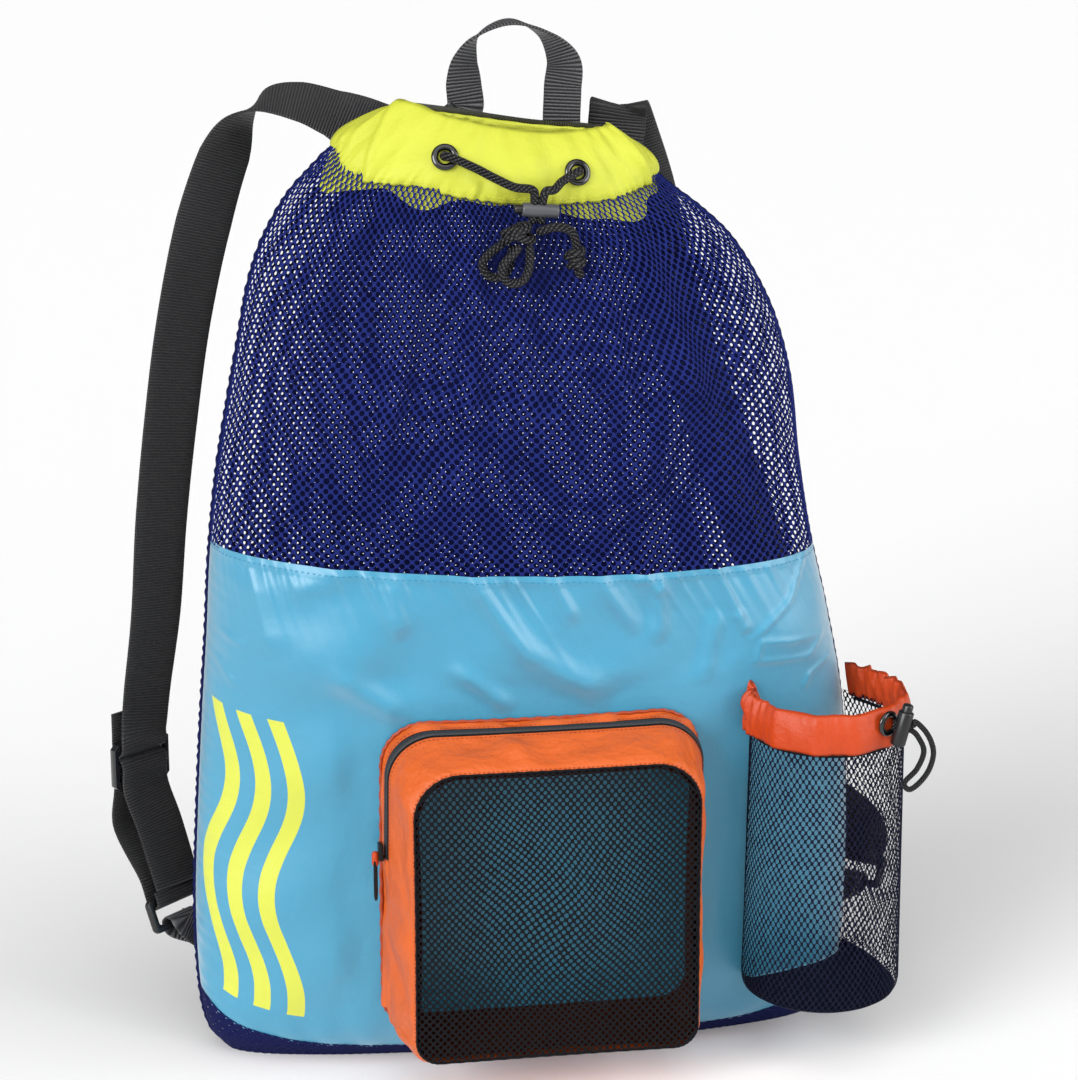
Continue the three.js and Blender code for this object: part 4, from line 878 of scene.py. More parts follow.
# a knot: turns of cord round the strands, each with its middle, half width, half depth and lean
def wrapKnot(name, wraps, high, diameter, count, node):
    turn = np.linspace(0, fullTurn, 40)
    parts = []
    uvs = []
    for centre, across, deep, lean in wraps:
        ring = np.stack([centre[0] + across * np.cos(turn), centre[1] + deep * np.sin(turn),
                         centre[2] + high * np.cos(turn) * lean + 0.6 * np.sin(2 * turn)], axis=1)
        points, faces, uv, path = cordTube(ring, diameter, count, ends=False)
        parts.append((points, faces))
        uvs.append(uv)
    points, faces = joined(parts)
    return piece(name, points, faces, "braid", [node], uv=np.vstack(uvs))


bowWraps = [((-8.5, -65.5, 563), 7.4, 5.2, 0.35), ((-6.4, -65.9, 559), 7.8, 5.4, -0.3),
            ((-10, -66.2, 560.6), 6.6, 4.8, 0.8)]
bowKnot = wrapKnot("bow_knot", bowWraps, high=6.0, diameter=cordDiameter, count=60, node="cord_knot")

loopRoutes = {
    "left": [[-16.2, -66.3, 555.2], [-23.5, -66.2, 550.5], [-29.4, -66.4, 543.5], [-26.6, -66.8, 536],
             [-20, -67, 534.2], [-14.2, -67, 538.6], [-12, -66.8, 546], [-10.7, -66.5, 554]],
    "right": [[-6.8, -70.2, 554.5], [-11.6, -73.2, 549.5], [-17.4, -74.4, 543.8], [-18.6, -74.6, 537],
              [-13.4, -74.4, 531.8], [-6.4, -74.2, 532.8], [-2.4, -73.6, 539], [-1, -72.2, 547],
              [-1.3, -70.2, 554.8]],
}
for side, route in loopRoutes.items():
    lay("bow_loop_" + side, route, cordDiameter, "braid", ["cord_loop_" + side])

archRoute = [[3.95, -66.9, 560.9], [8.2, -69.6, 563.4], [16, -70.6, 565], [25, -70, 562], [28, -69.7, 553.3],
             [27.6, -70, 545.6], [29, -70.6, 538.4], [31.6, -71.2, 533]]
endWraps = [((27.6, -70, 549), 4.2, 3.9, 0.25), ((27.2, -70, 545.4), 4.7, 4.2, -0.3),
            ((28, -70, 541.8), 4.0, 3.8, 0.3)]
endKnot = wrapKnot("end_knot", endWraps, high=4.0, diameter=4.8, count=40, node="cord_end_knot")
lay("bow_end", archRoute, cordDiameter, "braid", ["cord_arch", "cord_tail"])


# barrel lock: a turned barrel, open at one end, and the button that slides in it
def barrelProfiles(shape):
    outer, half, proud = shape["outer"], shape["half"], shape["proud"]
    bore = outer - 1.2
    body = [(0.01, half), (outer - 1.4, half), (outer - 0.4, half - 0.4), (outer, half - 1.4),
            (outer, 1.0 - half), (outer - 0.3, 0.3 - half), (outer - 0.8, -half), (bore, -half),
            (bore, 2 - half)]
    button = [(bore - 0.35, 0.3 - half), (bore - 0.35, 1.2 - half - proud), (bore - 0.8, 0.4 - half - proud),
              (bore - 1.6, -half - proud), (0.01, -half - proud)]
    return body, button


def addLock(prefix, at, axis, looksOfLock, slots, nodes, bodyOfButton):
    halves = zip(("_barrel", "_plunger"), barrelProfiles(lockShapes[prefix]), looksOfLock, slots, nodes,
                 ("bag", bodyOfButton))
    for ending, profile, look, slot, node, body in halves:
        points, faces = lathe(profile, at, axis, segments=40)
        piece(prefix + ending, points, faces, look, [node], body=body)


addLock("draw_lock", drawLock["at"], lockTurn @ np.array([1.0, 0, 0]),
        ("greyPlastic", "darkPlastic"), ("grey_plastic", "dark_plastic"),
        ("cord_lock_body", "cord_lock_button"), "draw_button")
print("cords made")

# Webbing

strapWide, loopWide, webbingThick = 38.0, 24.0, 1.8


# woven strap with rounded selvedges along rows of a centre point and a width direction
def strapMesh(rows, width, thickness, perRow):
    centres = np.array([row[0] for row in rows], float)
    wides = np.array([row[1] for row in rows], float)
    count = (len(rows) - 1) * perRow + 1
    path = curve(centres, count)
    at = np.linspace(0, len(rows) - 1, count)
    k = np.minimum(at.astype(int), len(rows) - 2)
    across = mix(wides[k], wides[k + 1], (at - k)[:, None])
    tangent = unit(np.gradient(path, axis=0))
    across = unit(across - tangent * np.sum(across * tangent, axis=1, keepdims=True))
    normal = np.cross(tangent, across)
    half, deep = width / 2, thickness / 2
    flat = np.linspace(-half + deep, half - deep, 7)
    profile = [(s, -deep) for s in flat]
    profile += [(half - 0.3 * deep, -0.6 * deep), (half, 0), (half - 0.3 * deep, 0.6 * deep)]
    profile += [(s, deep) for s in flat[::-1]]
    profile += [(0.3 * deep - half, 0.6 * deep), (-half, 0), (0.3 * deep - half, -0.6 * deep)]
    profile = np.array(profile)
    n = len(profile)
    points = path[:, None] + across[:, None] * profile[None, :, :1] + normal[:, None] * profile[None, :, 1:]
    places = np.tile(profile[:, 0] + half, (count, 1))
    uv = np.stack([places, np.repeat(lengthAlong(path)[:, None], n, 1)], axis=-1)
    faces = gridFaces(count - 1, n, closeRows=True).tolist()
    points = points.reshape(-1, 3)
    caps = []
    for start, order in ((0, -1), ((count - 1) * n, 1)):
        for i in range(n // 2 - 1):
            a, b, c, d = (start + j for j in (i, i + 1, n - 2 - i, n - 1 - i))
            caps.append([a, b, c, d][::order])
    return points, np.array(faces + caps), uv.reshape(-1, 2)


def webbing(name, rows, width, look, node):
    points, faces, uv = strapMesh(rows, width, webbingThick, perRow=10)
    piece(name, points, faces, look, [node], uv=uv)


# one row of a strap: its middle, and its width direction from a heading and a pitch in degrees
def strapRow(x, y, z, heading, pitch=0.0):
    a, p = math.radians(heading), math.radians(pitch)
    return (np.array([x, y, z], float),
            np.array([math.cos(a) * math.cos(p), math.sin(a) * math.cos(p), math.sin(p)]))


# rows that take a strap half round a bar
def turnRows(bar, start, far, radius, wide):
    rows = []
    for degrees in (0, 45, 90, 135, 180):
        a = math.radians(degrees)
        rows.append((bar + start * radius * math.cos(a) + far * radius * math.sin(a), wide))
    return rows


# a place off the back of the neck tape
def behindTape(at, up, out):
    ups = np.array([float(up)])
    reach = lens(ups) + neckTape["clear"] + tapeSide * 1.4 + out
    return collarPoint(1, np.array([math.acos(-at)]), ups, reach)[0]


loopFeet = {"left": -0.31, "right": 0.55}
loopCrown = [(-28, 27, 641, 14), (-27, 27, 655, 40), (-19.5, 27, 669.5, 72), (2, 27, 678.5, 90),
             (24, 27, 670, 112), (36, 27, 653, 148), (35.5, 27, 636, 172)]
sewn = tapeSide * (webbingThick / 2 + 1.9)


# rows of a foot of the grab loop, sewn behind the neck tape
def footRows(at, sign):
    rows = []
    for up in (0.5, 0.82, 1, 1.14):
        wide = unit(behindTape(at + 0.1, up, 0) - behindTape(at - 0.1, up, 0)) * sign
        rows.append((behindTape(at, up, sewn), wide))
    return rows


rows = footRows(loopFeet["left"], 1) + [strapRow(*r) for r in loopCrown]
rows += footRows(loopFeet["right"], -1)[::-1]
webbing("grab_loop_webbing", rows, loopWide, "loopWebbing", "grab_loop")

strapRoutes = {
    "left": [
        (-70, 40, 604, 0, 68), (-88, 41, 611, 20, 62), (-110, 44, 621, 72, 42), (-131, 47, 628.5, 84, 32),
        (-152, 51, 629, 76, 16), (-168, 54, 616, 50, 0), (-178.5, 55, 594, 26, -12),
        (-193, 55, 551, 16, -14), (-208, 53, 487, 20, -10), (-218.5, 51, 422, 22, -8),
        (-227, 49, 356, 25, -6), (-233, 47, 291, 29, -5), (-241, 46, 236, 34, -5)],
    "right": [
        (68, 37.5, 582, 0, -4), (72.5, 40.5, 604, 0, -10), (74, 42.5, 616, 0, -10),
        (75.5, 46.3, 621, -4, -8), (78, 49.2, 616, -4, -6), (84, 50.6, 600, 0, 4), (96, 55, 565, 0, 10),
        (107, 64, 520, -3, 12), (124, 70, 465, -5, 14), (146, 71, 405, -8, 16), (167, 68, 345, -12, 15),
        (184, 62, 291, -15, 14), (196, 59, 236, -18, 10)],
}
lockPlaces = {"left": (-247, 46, 190, 38), "right": (204, 58, 190, -18)}
tailRoutes = {
    "left": [(-236, 36, 148, 38), (-225.5, 22.5, 109, 40)],
    "right": [(207, 70, 148, -16), (208, 70, 104, -12)],
}
ringPlaces = {"left": (-227, 21, 93, 43), "right": (239, 21, 93, -43)}
ringPull = (0.25, 0.3, 0.92)
tabRoot = {"turn": 0.3, "z": 71, "wide": 24}
ladder = {"bar": 5, "pitch": 12.5}
strapRing = {"tall": 23, "bar": 4.5}
turnRadius = ladder["bar"] * math.sqrt(0.5) + 0.45 + webbingThick / 2


# middle and directions of a buckle or ring that hangs along a pull
def hardwareAxes(x, y, z, heading, pull=(0, 0, 1)):
    a = math.radians(heading)
    wide = np.array([math.cos(a), math.sin(a), 0])
    pull = np.array(pull, float)
    up = unit(pull - wide * np.dot(pull, wide))
    return {"at": np.array([x, y, z], float), "wide": wide, "up": up, "front": np.cross(wide, up)}


# moulded hardware: the CAD shape with its edges rounded to a radius
def moulded(name, node, radius, look):
    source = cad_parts[node]
    made = newObject(name, source.data.copy())
    made.data.materials.clear()
    made.data.materials.append(looks[look])
    weld = made.modifiers.new("weld", "WELD")
    weld.merge_threshold = 1e-5
    bevel = made.modifiers.new("bevel", "BEVEL")
    bevel.width = radius * metre
    bevel.segments = 3
    bevel.limit_method = "ANGLE"
    bevel.angle_limit = math.radians(35)
    shaped = bpy.data.meshes.new_from_object(made.evaluated_get(bpy.context.evaluated_depsgraph_get()))
    made.modifiers.clear()
    made.data = shaped
    shaped.polygons.foreach_set("use_smooth", [True] * len(shaped.polygons))
    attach(made, "bag")
    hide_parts(node)


# a strap row beside a bar of the hardware
def rowBeside(axes, front, up):
    return axes["at"] + axes["front"] * front + axes["up"] * up, axes["wide"]


ringReach = (strapRing["tall"] - strapRing["bar"]) / 2
for side, sign in (("left", -1), ("right", 1)):
    lock = hardwareAxes(*lockPlaces[side])
    ring = hardwareAxes(*ringPlaces[side], (sign * ringPull[0], ringPull[1], ringPull[2]))
    topBar = lock["at"] + lock["up"] * ladder["pitch"]
    ringTop = ring["at"] + ring["up"] * ringReach
    ringLow = ring["at"] - ring["up"] * ringReach

    rows = [strapRow(*r) for r in strapRoutes[side]]
    rows += [rowBeside(lock, turnRadius + 0.4, 22)]
    rows += turnRows(topBar, lock["front"], -lock["up"], turnRadius, lock["wide"])
    rows += [rowBeside(lock, -turnRadius, 24), rowBeside(lock, -turnRadius, 36)]
    webbing("strap_webbing_" + side, rows, strapWide, "webbing", "strap_" + side)

    rows = [rowBeside(ring, turnRadius, ringReach + 6)]
    rows += turnRows(ringTop, ring["front"], -ring["up"], turnRadius, ring["wide"])
    rows += [rowBeside(ring, -turnRadius, ringReach + 16), rowBeside(lock, -turnRadius - 3, -44)]
    rows += [rowBeside(lock, -turnRadius, -16)]
    rows += turnRows(lock["at"], -lock["front"], lock["up"], turnRadius, lock["wide"])
    rows += [rowBeside(lock, turnRadius, -16)] + [strapRow(*r) for r in tailRoutes[side]]
    webbing("strap_tail_" + side, rows, strapWide, "webbing", "strap_lower_" + side)

    turn = tabRoot["turn"] if sign < 0 else math.pi - tabRoot["turn"]
    near = [bagPoint(1, np.array([turn + d]), np.array([float(tabRoot["z"])]))[0] for d in (-0.05, 0, 0.05)]
    tabWide = unit(near[2] - near[0])
    outward = np.cross(tabWide, [0, 0, -1])
    outer, inner = ((near[1] + outward * (webbingThick / 2 + 1.7 + layer * (webbingThick + 0.6)), tabWide)
                    for layer in (1, 0))
    rows = [outer, *turnRows(ringLow, -ring["front"], ring["up"], turnRadius + 0.6, ring["wide"]), inner]
    webbing("strap_tab_webbing_" + side, rows, tabRoot["wide"], "loopWebbing", "strap_tab_" + side)
    moulded("ladder_buckle_" + side, "ladder_lock_" + side, 1.0, "glossPlastic")
    moulded("ring_link_" + side, "strap_ring_" + side, 1.2, "darkPlastic")
print("webbing made")

# Front pocket

pocket = {
    "back": (-97, 109, 38, 250), "front": (-84, 102, 34, 233), "radiusTop": 30, "radiusLow": 16,
    "frontY": -124, "crown": 4,
}
pocketRows = {"depth": [0, 0.2, 0.35, 0.92, 1], "swell": [0, 1.5, 2.5, 0.6, -2.2]}
zipSpan = {"low": 0.2, "high": 0.35, "from": 4 / 6, "to": 4 / 6}
straightPart, cornerPart = 0.667, 0.333  # of each side's share


# rounded rectangle at even steps, clockwise from the foot of the left side; share 0 to 4 counts the sides
def roundedOutline(box, radiusTop, radiusLow, share):
    left, right, low, high = box
    centres = np.array([(left + radiusTop, high - radiusTop), (right - radiusTop, high - radiusTop),
                        (right - radiusLow, low + radiusLow), (left + radiusLow, low + radiusLow)], float)
    radii = np.array([radiusTop, radiusTop, radiusLow, radiusLow], float)
    angles = np.radians([180.0, 90.0, 0.0, -90.0])
    k = np.floor(share).astype(int) % 4
    u = share - np.floor(share)
    before = (k + 3) % 4
    start = centres[before] + radii[before, None] * np.stack([np.cos(angles[k]), np.sin(angles[k])], 1)
    end = centres[k] + radii[k, None] * np.stack([np.cos(angles[k]), np.sin(angles[k])], 1)
    straight = mix(start, end, np.clip(u / straightPart, 0, 1)[:, None])
    bend = angles[k] - np.clip((u - straightPart) / cornerPart, 0, 1) * math.pi / 2
    corner = centres[k] + radii[k, None] * np.stack([np.cos(bend), np.sin(bend)], 1)
    return np.where((u <= straightPart)[:, None], straight, corner)


left, right, low, high = pocket["front"]
pocketMiddle = np.array([(left + right) / 2, (low + high) / 2])


# a place on the gusset: depth runs from the panel to the netting front, swell is outward
def pocketPoint(share, depth, swell):
    a = roundedOutline(pocket["back"], pocket["radiusTop"], pocket["radiusLow"], share)
    b = roundedOutline(pocket["front"], pocket["radiusTop"], pocket["radiusLow"], share)
    p = mix(a, b, depth[:, None])
    away = unit(p - pocketMiddle)
    y = mix(frontY(a[:, 0], a[:, 1]) - 0.6, pocket["frontY"], depth)  # just clear of the panel
    return stack(p[:, 0] + away[:, 0] * swell, y, p[:, 1] + away[:, 1] * swell)


def swellAt(depth):
    return smooth(pocketRows, "depth", "swell", depth)


# creases across the gusset, most of them low on its left side
pocketCreases = {
    "share": [0.05, 0.13, 0.24, 0.32, 1.22, 1.5, 1.86],
    "lean": [0.1, -0.08, 0.12, 0.08, 0.05, -0.04, 0.06],
    "wide": [0.036, 0.034, 0.042, 0.036, 0.026, 0.034, 0.026],
    "high": [2.9, -2.3, 2.7, -2.1, 2.2, 1.8, 2.0],
}


# cloth of the gusset between two depths, with soft dents and creases
def gussetStrip(low, high, count, fromShare=0.0, toShare=4.0, columns=300, lift=0.0, dented=1.0):
    share, depth = (a.ravel() for a in np.meshgrid(np.linspace(fromShare, toShare, columns + 1),
                                                   np.linspace(low, high, count + 1), indexing="ij"))
    inside = np.clip((depth - low) / max(high - low, 1e-6), 0, 1)
    dents = 1.3 * np.sin(fullTurn * share * 2.25 + 5 * depth)
    dents = dents + 0.8 * np.sin(fullTurn * share * 5.5 - 4 * depth)
    for at, lean, wide, tall in zip(*pocketCreases.values()):
        dents = dents + tall * bell(share - at - lean * (depth - 0.6), 0, wide)
    points = pocketPoint(share % 4, depth, swellAt(depth) + lift + dented * dents * hump(inside))
    uv = np.stack([share * 200, depth * 60], axis=1)
    return points, gridFaces(columns, count), uv


# places along one depth of the gusset, off its own swell
def sharePoint(shares, depth, swell):
    shares = np.asarray(shares, float)
    return pocketPoint(shares % 4, np.full(len(shares), depth), swell + swellAt(np.full(len(shares), depth)))


zipFrom, zipTo = zipSpan["from"] * straightPart, 2 + (1 - zipSpan["to"]) * straightPart
strips = [gussetStrip(0, zipSpan["low"], count=6), gussetStrip(zipSpan["high"], 1.0, count=16),
          gussetStrip(zipSpan["low"], zipSpan["high"], 5, zipTo, zipFrom + 4, columns=170)]
points, faces = joined([strip[:2] for strip in strips])
uv = np.vstack([strip[2] for strip in strips])
made = piece("pocket_cloth", points, faces, "orange", ["pocket_gusset"], uv=uv)
# a dark sheet just inside the gusset, painted shade for the pocket's inside
points, faces, uv = gussetStrip(0.03, 0.97, count=14, lift=-5.5, dented=0.0)
piece("pocket_shade_lining", points, faces[:, ::-1], "shadeLining", uv=uv)

seams = [("pocket_seam", 0.02, 1.2, 0.0, 2.1), ("zip_seam_back", 0.165, 0.35, zipFrom, zipTo),
         ("zip_seam_front", 0.40, 0.35, zipFrom, zipTo), ("pocket_edge", 0.985, 0.5, 0.0, 2.1)]
for name, depth, lift, first, last in seams:
    shares = np.linspace(first, last, 600)
    line = sharePoint(shares, depth, lift)
    out = line - sharePoint(shares, depth, lift - 1)
    stitchRow(name + "_stitches", line, out, "orangeThread", long=2.0, gap=1.0)

# zip: woven tape with a raised coil of fine ribs
zipShares = np.linspace(zipFrom, zipTo, 420)
tape = [sharePoint(zipShares, d, 0.1) for d in np.linspace(zipSpan["low"] - 0.01, zipSpan["high"] + 0.01, 5)]
piece("zip_tape_cloth", np.stack(tape, axis=1).reshape(-1, 3), gridFaces(419, 4), "zipTape",
      ["pocket_zip"])
coil = {"pitch": 1.5, "half": 0.052, "high": 1.5}
coilShares = np.linspace(zipFrom, zipTo, 2400)
zipMiddle = (zipSpan["low"] + zipSpan["high"]) / 2
ribTurn = lengthAlong(sharePoint(coilShares, zipMiddle, 0.0)) * fullTurn / coil["pitch"]
coilRows = []
for u in np.linspace(-1, 1, 7):
    depth = zipMiddle + coil["half"] * u
    groove = 1 - 0.35 * math.exp(-((u / 0.2) ** 2))
    high = 0.25 + coil["high"] * math.sqrt(max(1 - u * u, 0)) * groove * (0.8 + 0.2 * np.sin(ribTurn + 2 * u))
    coilRows.append(sharePoint(coilShares, depth, high))
piece("zip_coil", np.stack(coilRows, axis=1).reshape(-1, 3), gridFaces(2399, 6), "zipCoil")


# netting front, slightly crowned and cut to the rounded outline, with a dark bound edge
pocketNet = {"pitch": (4.7, 5.4), "hole": 0.53, "ridge": 0.4, "inset": 2.6, "wide": 181, "tall": 194}


def pocketNetSurface(share, t):
    left, right, low, high = pocket["front"]
    inset = pocketNet["inset"]
    share, t = np.clip(share, 0, 1), np.clip(t, 0, 1)
    across, rise = 2 * share - 1, 2 * t - 1
    crown = pocket["crown"] * (1 - across**4) * (1 - rise**4)
    sag = 1.2 * np.sin(5 * across + 2 * rise) * (1 - across**2) * (1 - rise**2)
    return stack(mix(left + inset, right - inset, share), pocket["frontY"] - 0.5 - crown - sag,
                 mix(low + inset, high - inset, t))


# how far a place lies outside the rounded corners of the netting
def outsideNet(x, z):
    left, right, low, high = pocket["front"]
    radius = np.where(z > pocketMiddle[1], pocket["radiusTop"], pocket["radiusLow"]) - pocketNet["inset"]
    overX = np.abs(x - pocketMiddle[0]) - (right - left) / 2 + pocketNet["inset"] + radius
    overZ = np.abs(z - pocketMiddle[1]) - (high - low) / 2 + pocketNet["inset"] + radius
    return np.hypot(np.maximum(overX, 0), np.maximum(overZ, 0)) - radius


points, faces = netting(pocketNetSurface, pocketNet)
inside = outsideNet(points[:, 0], points[:, 2])[faces].max(axis=1) < 0.8
used, faces = np.unique(faces[inside].ravel(), return_inverse=True)
made = piece("pocket_netting", points[used], faces.reshape(-1, 3), "blackNet",
             ["pocket_net"])


# round edging all the way along the outline, slightly uneven as sewn
def edging(name, depth, swell, wide, deep, uneven, look):
    shares = np.linspace(0, 4, 601)[:-1]
    waver = uneven * np.sin(fullTurn * shares * 23 + np.sin(9 * shares))
    line = pocketPoint(shares, np.full(600, depth), swell + waver)
    turn = np.linspace(0, fullTurn, 9)[:-1]
    out = unit(line[:, [0, 2]] - pocketMiddle)
    rings = [line + stack(out[:, 0] * wide * math.cos(a), deep * math.sin(a), out[:, 1] * wide * math.cos(a))
             for a in turn]
    faces = gridFaces(600, 8, closeColumns=True, closeRows=True)
    piece(name, np.stack(rings, axis=1).reshape(-1, 3), faces, look)


edging("pocket_binding", depth=1.0, swell=0.3 - pocketNet["inset"], wide=1.0, deep=0.8, uneven=0.12,
       look="blackNet")
edging("pocket_piping", depth=0.02, swell=0.6, wide=1.3, deep=1.2, uneven=0.35,
       look="pipe")

# slider and a soft pull of folded cord
zipEnd = sharePoint([zipFrom], 0.275, 1.1)[0]
moulded("slider_body", "zip_slider", 0.8, "slider")
pullTop = np.array([zipEnd[0] - 6.2, zipEnd[1], zipEnd[2] + 2])
pullLoop = [(0, 0), (-1.9, -6), (-2.3, -18), (-1.6, -28), (0.4, -31), (2.4, -28), (2.6, -18), (1.9, -6),
            (0.2, 0.2)]
pullRoute = [pullTop + [0.3 * u, u, w] for u, w in pullLoop]
points, faces, uv, path = cordTube(pullRoute, diameter=1.8, count=90, sides=10)
piece("pull_tab", points, faces, "thinBraid", ["zip_pull"], uv=uv)
points, faces, uv, path = cordTube([pullTop + [0, 0, w] for w in (2.5, -1, -4, -8)], diameter=4.6, count=24)
piece("pull_clamp", points, faces, "redOrange", uv=uv)
print("pocket made")

# Open sleeve

sleeve = {"x": 195, "y": -66, "radiusLow": 52.5, "radiusHigh": 50.5, "low": 46, "high": 255, "hem": 3.2,
          "seamX": 2.2, "seamY": -1.6}
sleeveEdge = {
    "along": [0, 0.1, 0.42, 0.66, 0.84, 1],
    "low": [238, 231, 228, 230, 229, 227],
    "high": [266, 258, 255, 257, 255, 252],
}
sleeveSide = {"start": 0.1, "end": 0.78}


# wall of the sleeve: out from the panel, round a half circle, and back to the side seam
def sleevePlan(q, z, inset=0.0):
    lift = np.clip((z - sleeve["low"]) / (sleeve["high"] - sleeve["low"]), 0, 1)
    radius = mix(sleeve["radiusLow"], sleeve["radiusHigh"], lift) - inset
    x, y = sleeve["x"], sleeve["y"]
    footX = x - radius + 3
    u = np.clip(q / sleeveSide["start"], 0, 1)
    first = stack(mix(footX, x - radius, u), mix(frontY(footX, z) - 0.5, y + 0 * z, u), z)
    turn = np.pi * (1 + (q - sleeveSide["start"]) / (sleeveSide["end"] - sleeveSide["start"]))
    second = stack(x + radius * np.cos(turn), y + radius * np.sin(turn), z)
    v = np.clip((q - sleeveSide["end"]) / (1 - sleeveSide["end"]), 0, 1)[:, None]
    side = stack(x + radius, y + 0 * z, z)
    bend = stack(x + radius - 1, y + 34 + 0 * z, z)
    seam = stack(smooth(bagSections, "z", "right", z) + sleeve["seamX"], sleeve["seamY"] + 0 * z, z)
    third = mix(mix(side, bend, v), mix(bend, seam, v), v)
    rest = np.where((q <= sleeveSide["end"])[:, None], second, third)
    return np.where((q < sleeveSide["start"])[:, None], first, rest)


def sleeveSurface(phi, t):
    q = phi / np.pi
    low = sleeve["low"] + sleeve["hem"]
    z = mix(low, smooth(sleeveEdge, "along", "low", q) + 4, t)
    return sleevePlan(q, z, 2.4 * np.clip(1 - (z - low) / 7, 0, 1) ** 2)


sleeveNet = {"wide": 318, "tall": 186, "pitch": (5.6, 6.6), "hole": 0.62, "ridge": 0.4}
made = netPiece("sleeve_netting", clothMap(sleeveSurface), sleeveNet, "sleeveNet", "navy_netting",
                ["sleeve_net"])


# closed floor, turned in from the wall
def sleeveFloor(share, t):
    q = np.clip(share, 0, 1)
    rowsIn = {"t": [0, 0.2, 0.45, 1], "inset": [2.4, 5, 9, 9], "z": [3.2, 1, 0, 0]}
    z = sleeve["low"] + smooth(rowsIn, "t", "z", t)
    wall = sleevePlan(q, z, smooth(rowsIn, "t", "inset", t))
    start = sleevePlan(0 * q, z)
    end = sleevePlan(0 * q + 1, z)
    x = mix(start[:, 0], end[:, 0], q)
    back = stack(x, np.minimum(frontY(x, z) - 0.5, sleeve["seamY"]), z)
    return mix(wall, back, ease(0.45, 1, t)[:, None])


points, faces, uv = clothGrid(sleeveFloor, columns=90, rows=24, width=sleeveNet["wide"], height=90)
piece("sleeve_floor", points, faces[:, ::-1], "sleeveNet", uv=uv)

# gathered collar: a tunnel with ruffles that lie closer at its two ends
ruffles = {"count": 9, "deep": 1.5, "halfThick": 3.0, "from": 0.03, "to": 0.985, "columns": 420}
ups, sides = tunnelSection(np.linspace(0.02, 1, 16))
count = ruffles["columns"] + 1
q = np.repeat(np.linspace(ruffles["from"], ruffles["to"], count), len(ups))
up, side = np.tile(ups, count), np.tile(sides, count)
low, high = (smooth(sleeveEdge, "along", c, q) for c in ("low", "high"))
z = mix(low, high, up)
p = sleevePlan(q, z)
nextP = sleevePlan(q + 0.004, z)
outward = unit(stack(nextP[:, 1] - p[:, 1], p[:, 0] - nextP[:, 0], 0 * z))
hug = np.minimum(1, np.minimum(0.2 + (q - ruffles["from"]) / 0.12, 0.3 + (ruffles["to"] - q) / 0.1))
main = ruffles["deep"] * np.sin(fullTurn * ruffles["count"] * q) * np.sin(np.pi * q) ** 0.3
bunch = bell(q, 0.08, 0.09) + bell(q, 0.9, 0.08)  # gathers crowd towards both ends
fine = bunch * (1.9 * np.sin(fullTurn * 31 * q + 3 * up) + 0.9 * np.sin(fullTurn * 53 * q - 4 * up))
fine = fine + 0.35 * np.sin(fullTurn * 24 * q + 2.5 * np.sin(fullTurn * 5 * q))
lean = -2.5 * up + (main + fine) * (0.35 + 0.65 * np.abs(2 * up - 1))
thick = ruffles["halfThick"] * np.sin(np.pi * up) ** 0.6
points = p + outward * (hug * (side * thick + lean + 2.6))[:, None]
crumple = bell(q, 0.085, 0.055)  # the left end is crushed into knuckles
knuckles = 4.6 * np.abs(np.sin(fullTurn * 15 * q + 2.4 * up)) + 2.0 * np.sin(fullTurn * 29 * q - 5 * up) - 2.4
points += outward * (crumple * knuckles)[:, None]
points[:, 2] += (bunch * 1.4 * np.sin(fullTurn * 22 * q) + crumple * 2.2 * np.sin(fullTurn * 17 * q + 1)) * up
uv = np.stack([q * sleeveNet["wide"], z + side * 40], axis=1)
faces = gridFaces(ruffles["columns"], len(ups), closeRows=True)
made = piece("sleeve_collar_cloth", points, faces, "redOrange", ["sleeve_collar"], uv=uv)

# dark edge of the netting, folded under the collar, drawn black so that it also paints the shade under the
# band
qs = np.linspace(0.05, 0.975, 120)
edge = sleevePlan(qs, smooth(sleeveEdge, "along", "low", qs) - 0.4)
ahead = sleevePlan(qs + 0.004, edge[:, 2])
edge = edge + unit(stack(ahead[:, 1] - edge[:, 1], edge[:, 0] - ahead[:, 0], 0 * qs)) * 0.8
points, faces, uv, path = cordTube(list(edge), diameter=2.2, count=240, sides=8)
piece("sleeve_edge_and_shade", points, faces, "blackNet", uv=uv)

sleeveEyelet = {"turn": math.radians(-59), "z": 246.5, "reach": 50.5 + 3 + 0.75 + 1.5}
eyeletOut = np.array([math.cos(sleeveEyelet["turn"]), math.sin(sleeveEyelet["turn"]), 0])
eyeletAt = np.array([sleeve["x"], sleeve["y"], sleeveEyelet["z"]]) + eyeletOut * sleeveEyelet["reach"]
points, faces = lathe(eyeletProfile, eyeletAt, eyeletOut)
piece("sleeve_eyelet_ring", points, faces, "eyelet", ["sleeve_eyelet"])

sleeveLock = {"at": (231.2, -118.7, 244.7), "lean": math.radians(104)}
sleeveLockAt = np.array(sleeveLock["at"])
sleeveAxis = np.array([math.cos(sleeveLock["lean"]), 0, -math.sin(sleeveLock["lean"])])
sleeveAcross = np.array([math.sin(sleeveLock["lean"]), 0, math.cos(sleeveLock["lean"])])
addLock("sleeve_lock", sleeveLockAt, sleeveAxis, ("darkPlastic", "darkPlastic"),
        ("dark_plastic", "dark_plastic"), ("sleeve_lock_body", "sleeve_lock_button"), "sleeve_button")


def inSleeveLock(along, across):
    return sleeveLockAt + sleeveAxis * along + sleeveAcross * across


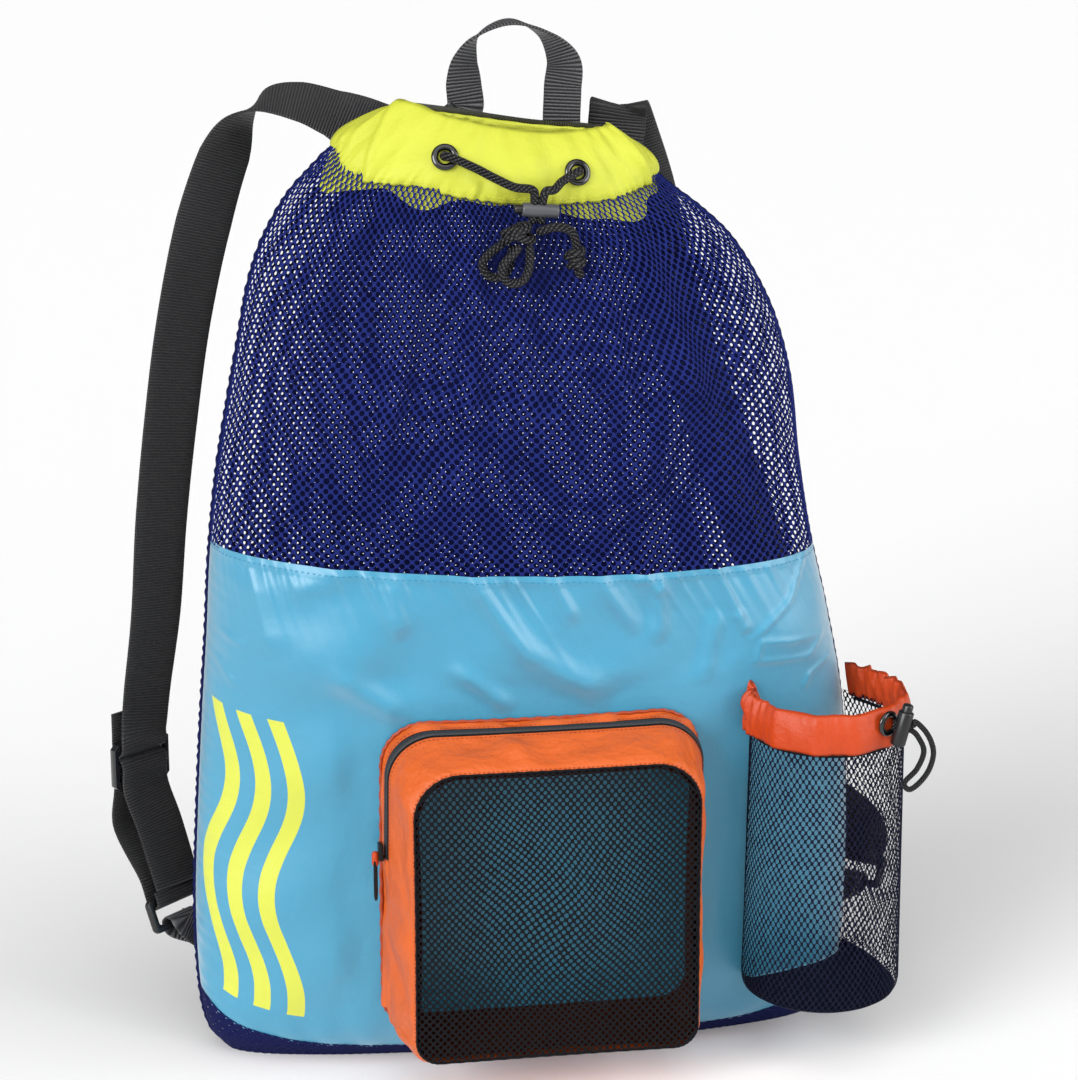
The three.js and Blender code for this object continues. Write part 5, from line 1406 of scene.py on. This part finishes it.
sleeveCord = 3.6
loopOut = [[8, 0, 4], [17, 1, -5], [22, 2, -19], [17.5, 2.5, -34], [7, 2.5, -43]]
loopBack = [[3.4, 2.5, -39], [11.4, 2, -29], [15.4, 1.5, -17], [11.8, 1, -8]]
slots = (-1.5 - sleeveCord / 2 - 0.15, -1.5 + sleeveCord / 2 + 0.15)
route = [inSleeveLock(slots[0], -7), inSleeveLock(slots[0], 7)]
route += [sleeveLockAt + step for step in np.array(loopOut + loopBack)]
route += [inSleeveLock(slots[1], 7), inSleeveLock(slots[1], -7)]
lay("sleeve_drawcord", route, sleeveCord, "thinBraid", ["sleeve_cord"], count=150)
print("sleeve made")

# Stage: pale floor, soft studio light, and the camera at the photograph's angle

floorMesh = bpy.data.meshes.new("floor")
reach = 8.0
corners = [(-reach, -reach, 0), (reach, -reach, 0), (reach, reach, 0), (-reach, reach, 0)]
floorMesh.from_pydata(corners, [], [(0, 1, 2, 3)])
floorMesh.materials.append(newLook("pale_floor", "#F4F4F4", {"Roughness": 0.9, "Specular IOR Level": 0.1})[0])
newObject("floor", floorMesh)

world = bpy.data.worlds.new("studio")
world.use_nodes = True
world.node_tree.nodes["Background"].inputs["Color"].default_value = (1, 1, 1, 1)
world.node_tree.nodes["Background"].inputs["Strength"].default_value = 0.12
bpy.context.scene.world = world
bpy.context.scene.view_settings.view_transform = "Standard"

# soft boxes so far away that they light the whole floor evenly
lamps = {
    "key": {"from": (-1.0, -0.8, 0.5), "strength": 3.0, "spread": 35},
    "fill": {"from": (1.2, -0.6, 0.45), "strength": 2.3, "spread": 45},
    "top": {"from": (-0.15, -1.0, 1.15), "strength": 1.7, "spread": 75},
}
target = Vector((0.016, 0.0, 0.345))
for name, lamp in lamps.items():
    data = bpy.data.lights.new(name, "SUN")
    data.angle = math.radians(lamp["spread"])
    data.energy = lamp["strength"]
    light = newObject(name, data)
    light.location = target + Vector(lamp["from"]) * 2
    light.rotation_euler = Vector(lamp["from"]).to_track_quat("Z", "Y").to_euler()

view = {"azimuth": math.radians(-9), "elevation": math.radians(16.5), "distance": 2.0, "focal": 3060,
        "wide": 1078, "sensor": 36}
cameraData = bpy.data.cameras.new("photo_camera")
cameraData.sensor_width = view["sensor"]
cameraData.sensor_fit = "HORIZONTAL"
cameraData.lens = view["sensor"] * view["focal"] / view["wide"]
camera = newObject("photo_camera", cameraData)
level = math.cos(view["elevation"])
away = Vector((math.sin(view["azimuth"]) * level, -math.cos(view["azimuth"]) * level,
               math.sin(view["elevation"])))
camera.location = target + away * view["distance"]
camera.rotation_euler = (-away).to_track_quat("-Z", "Y").to_euler()
bpy.context.scene.camera = camera
print("stage made")
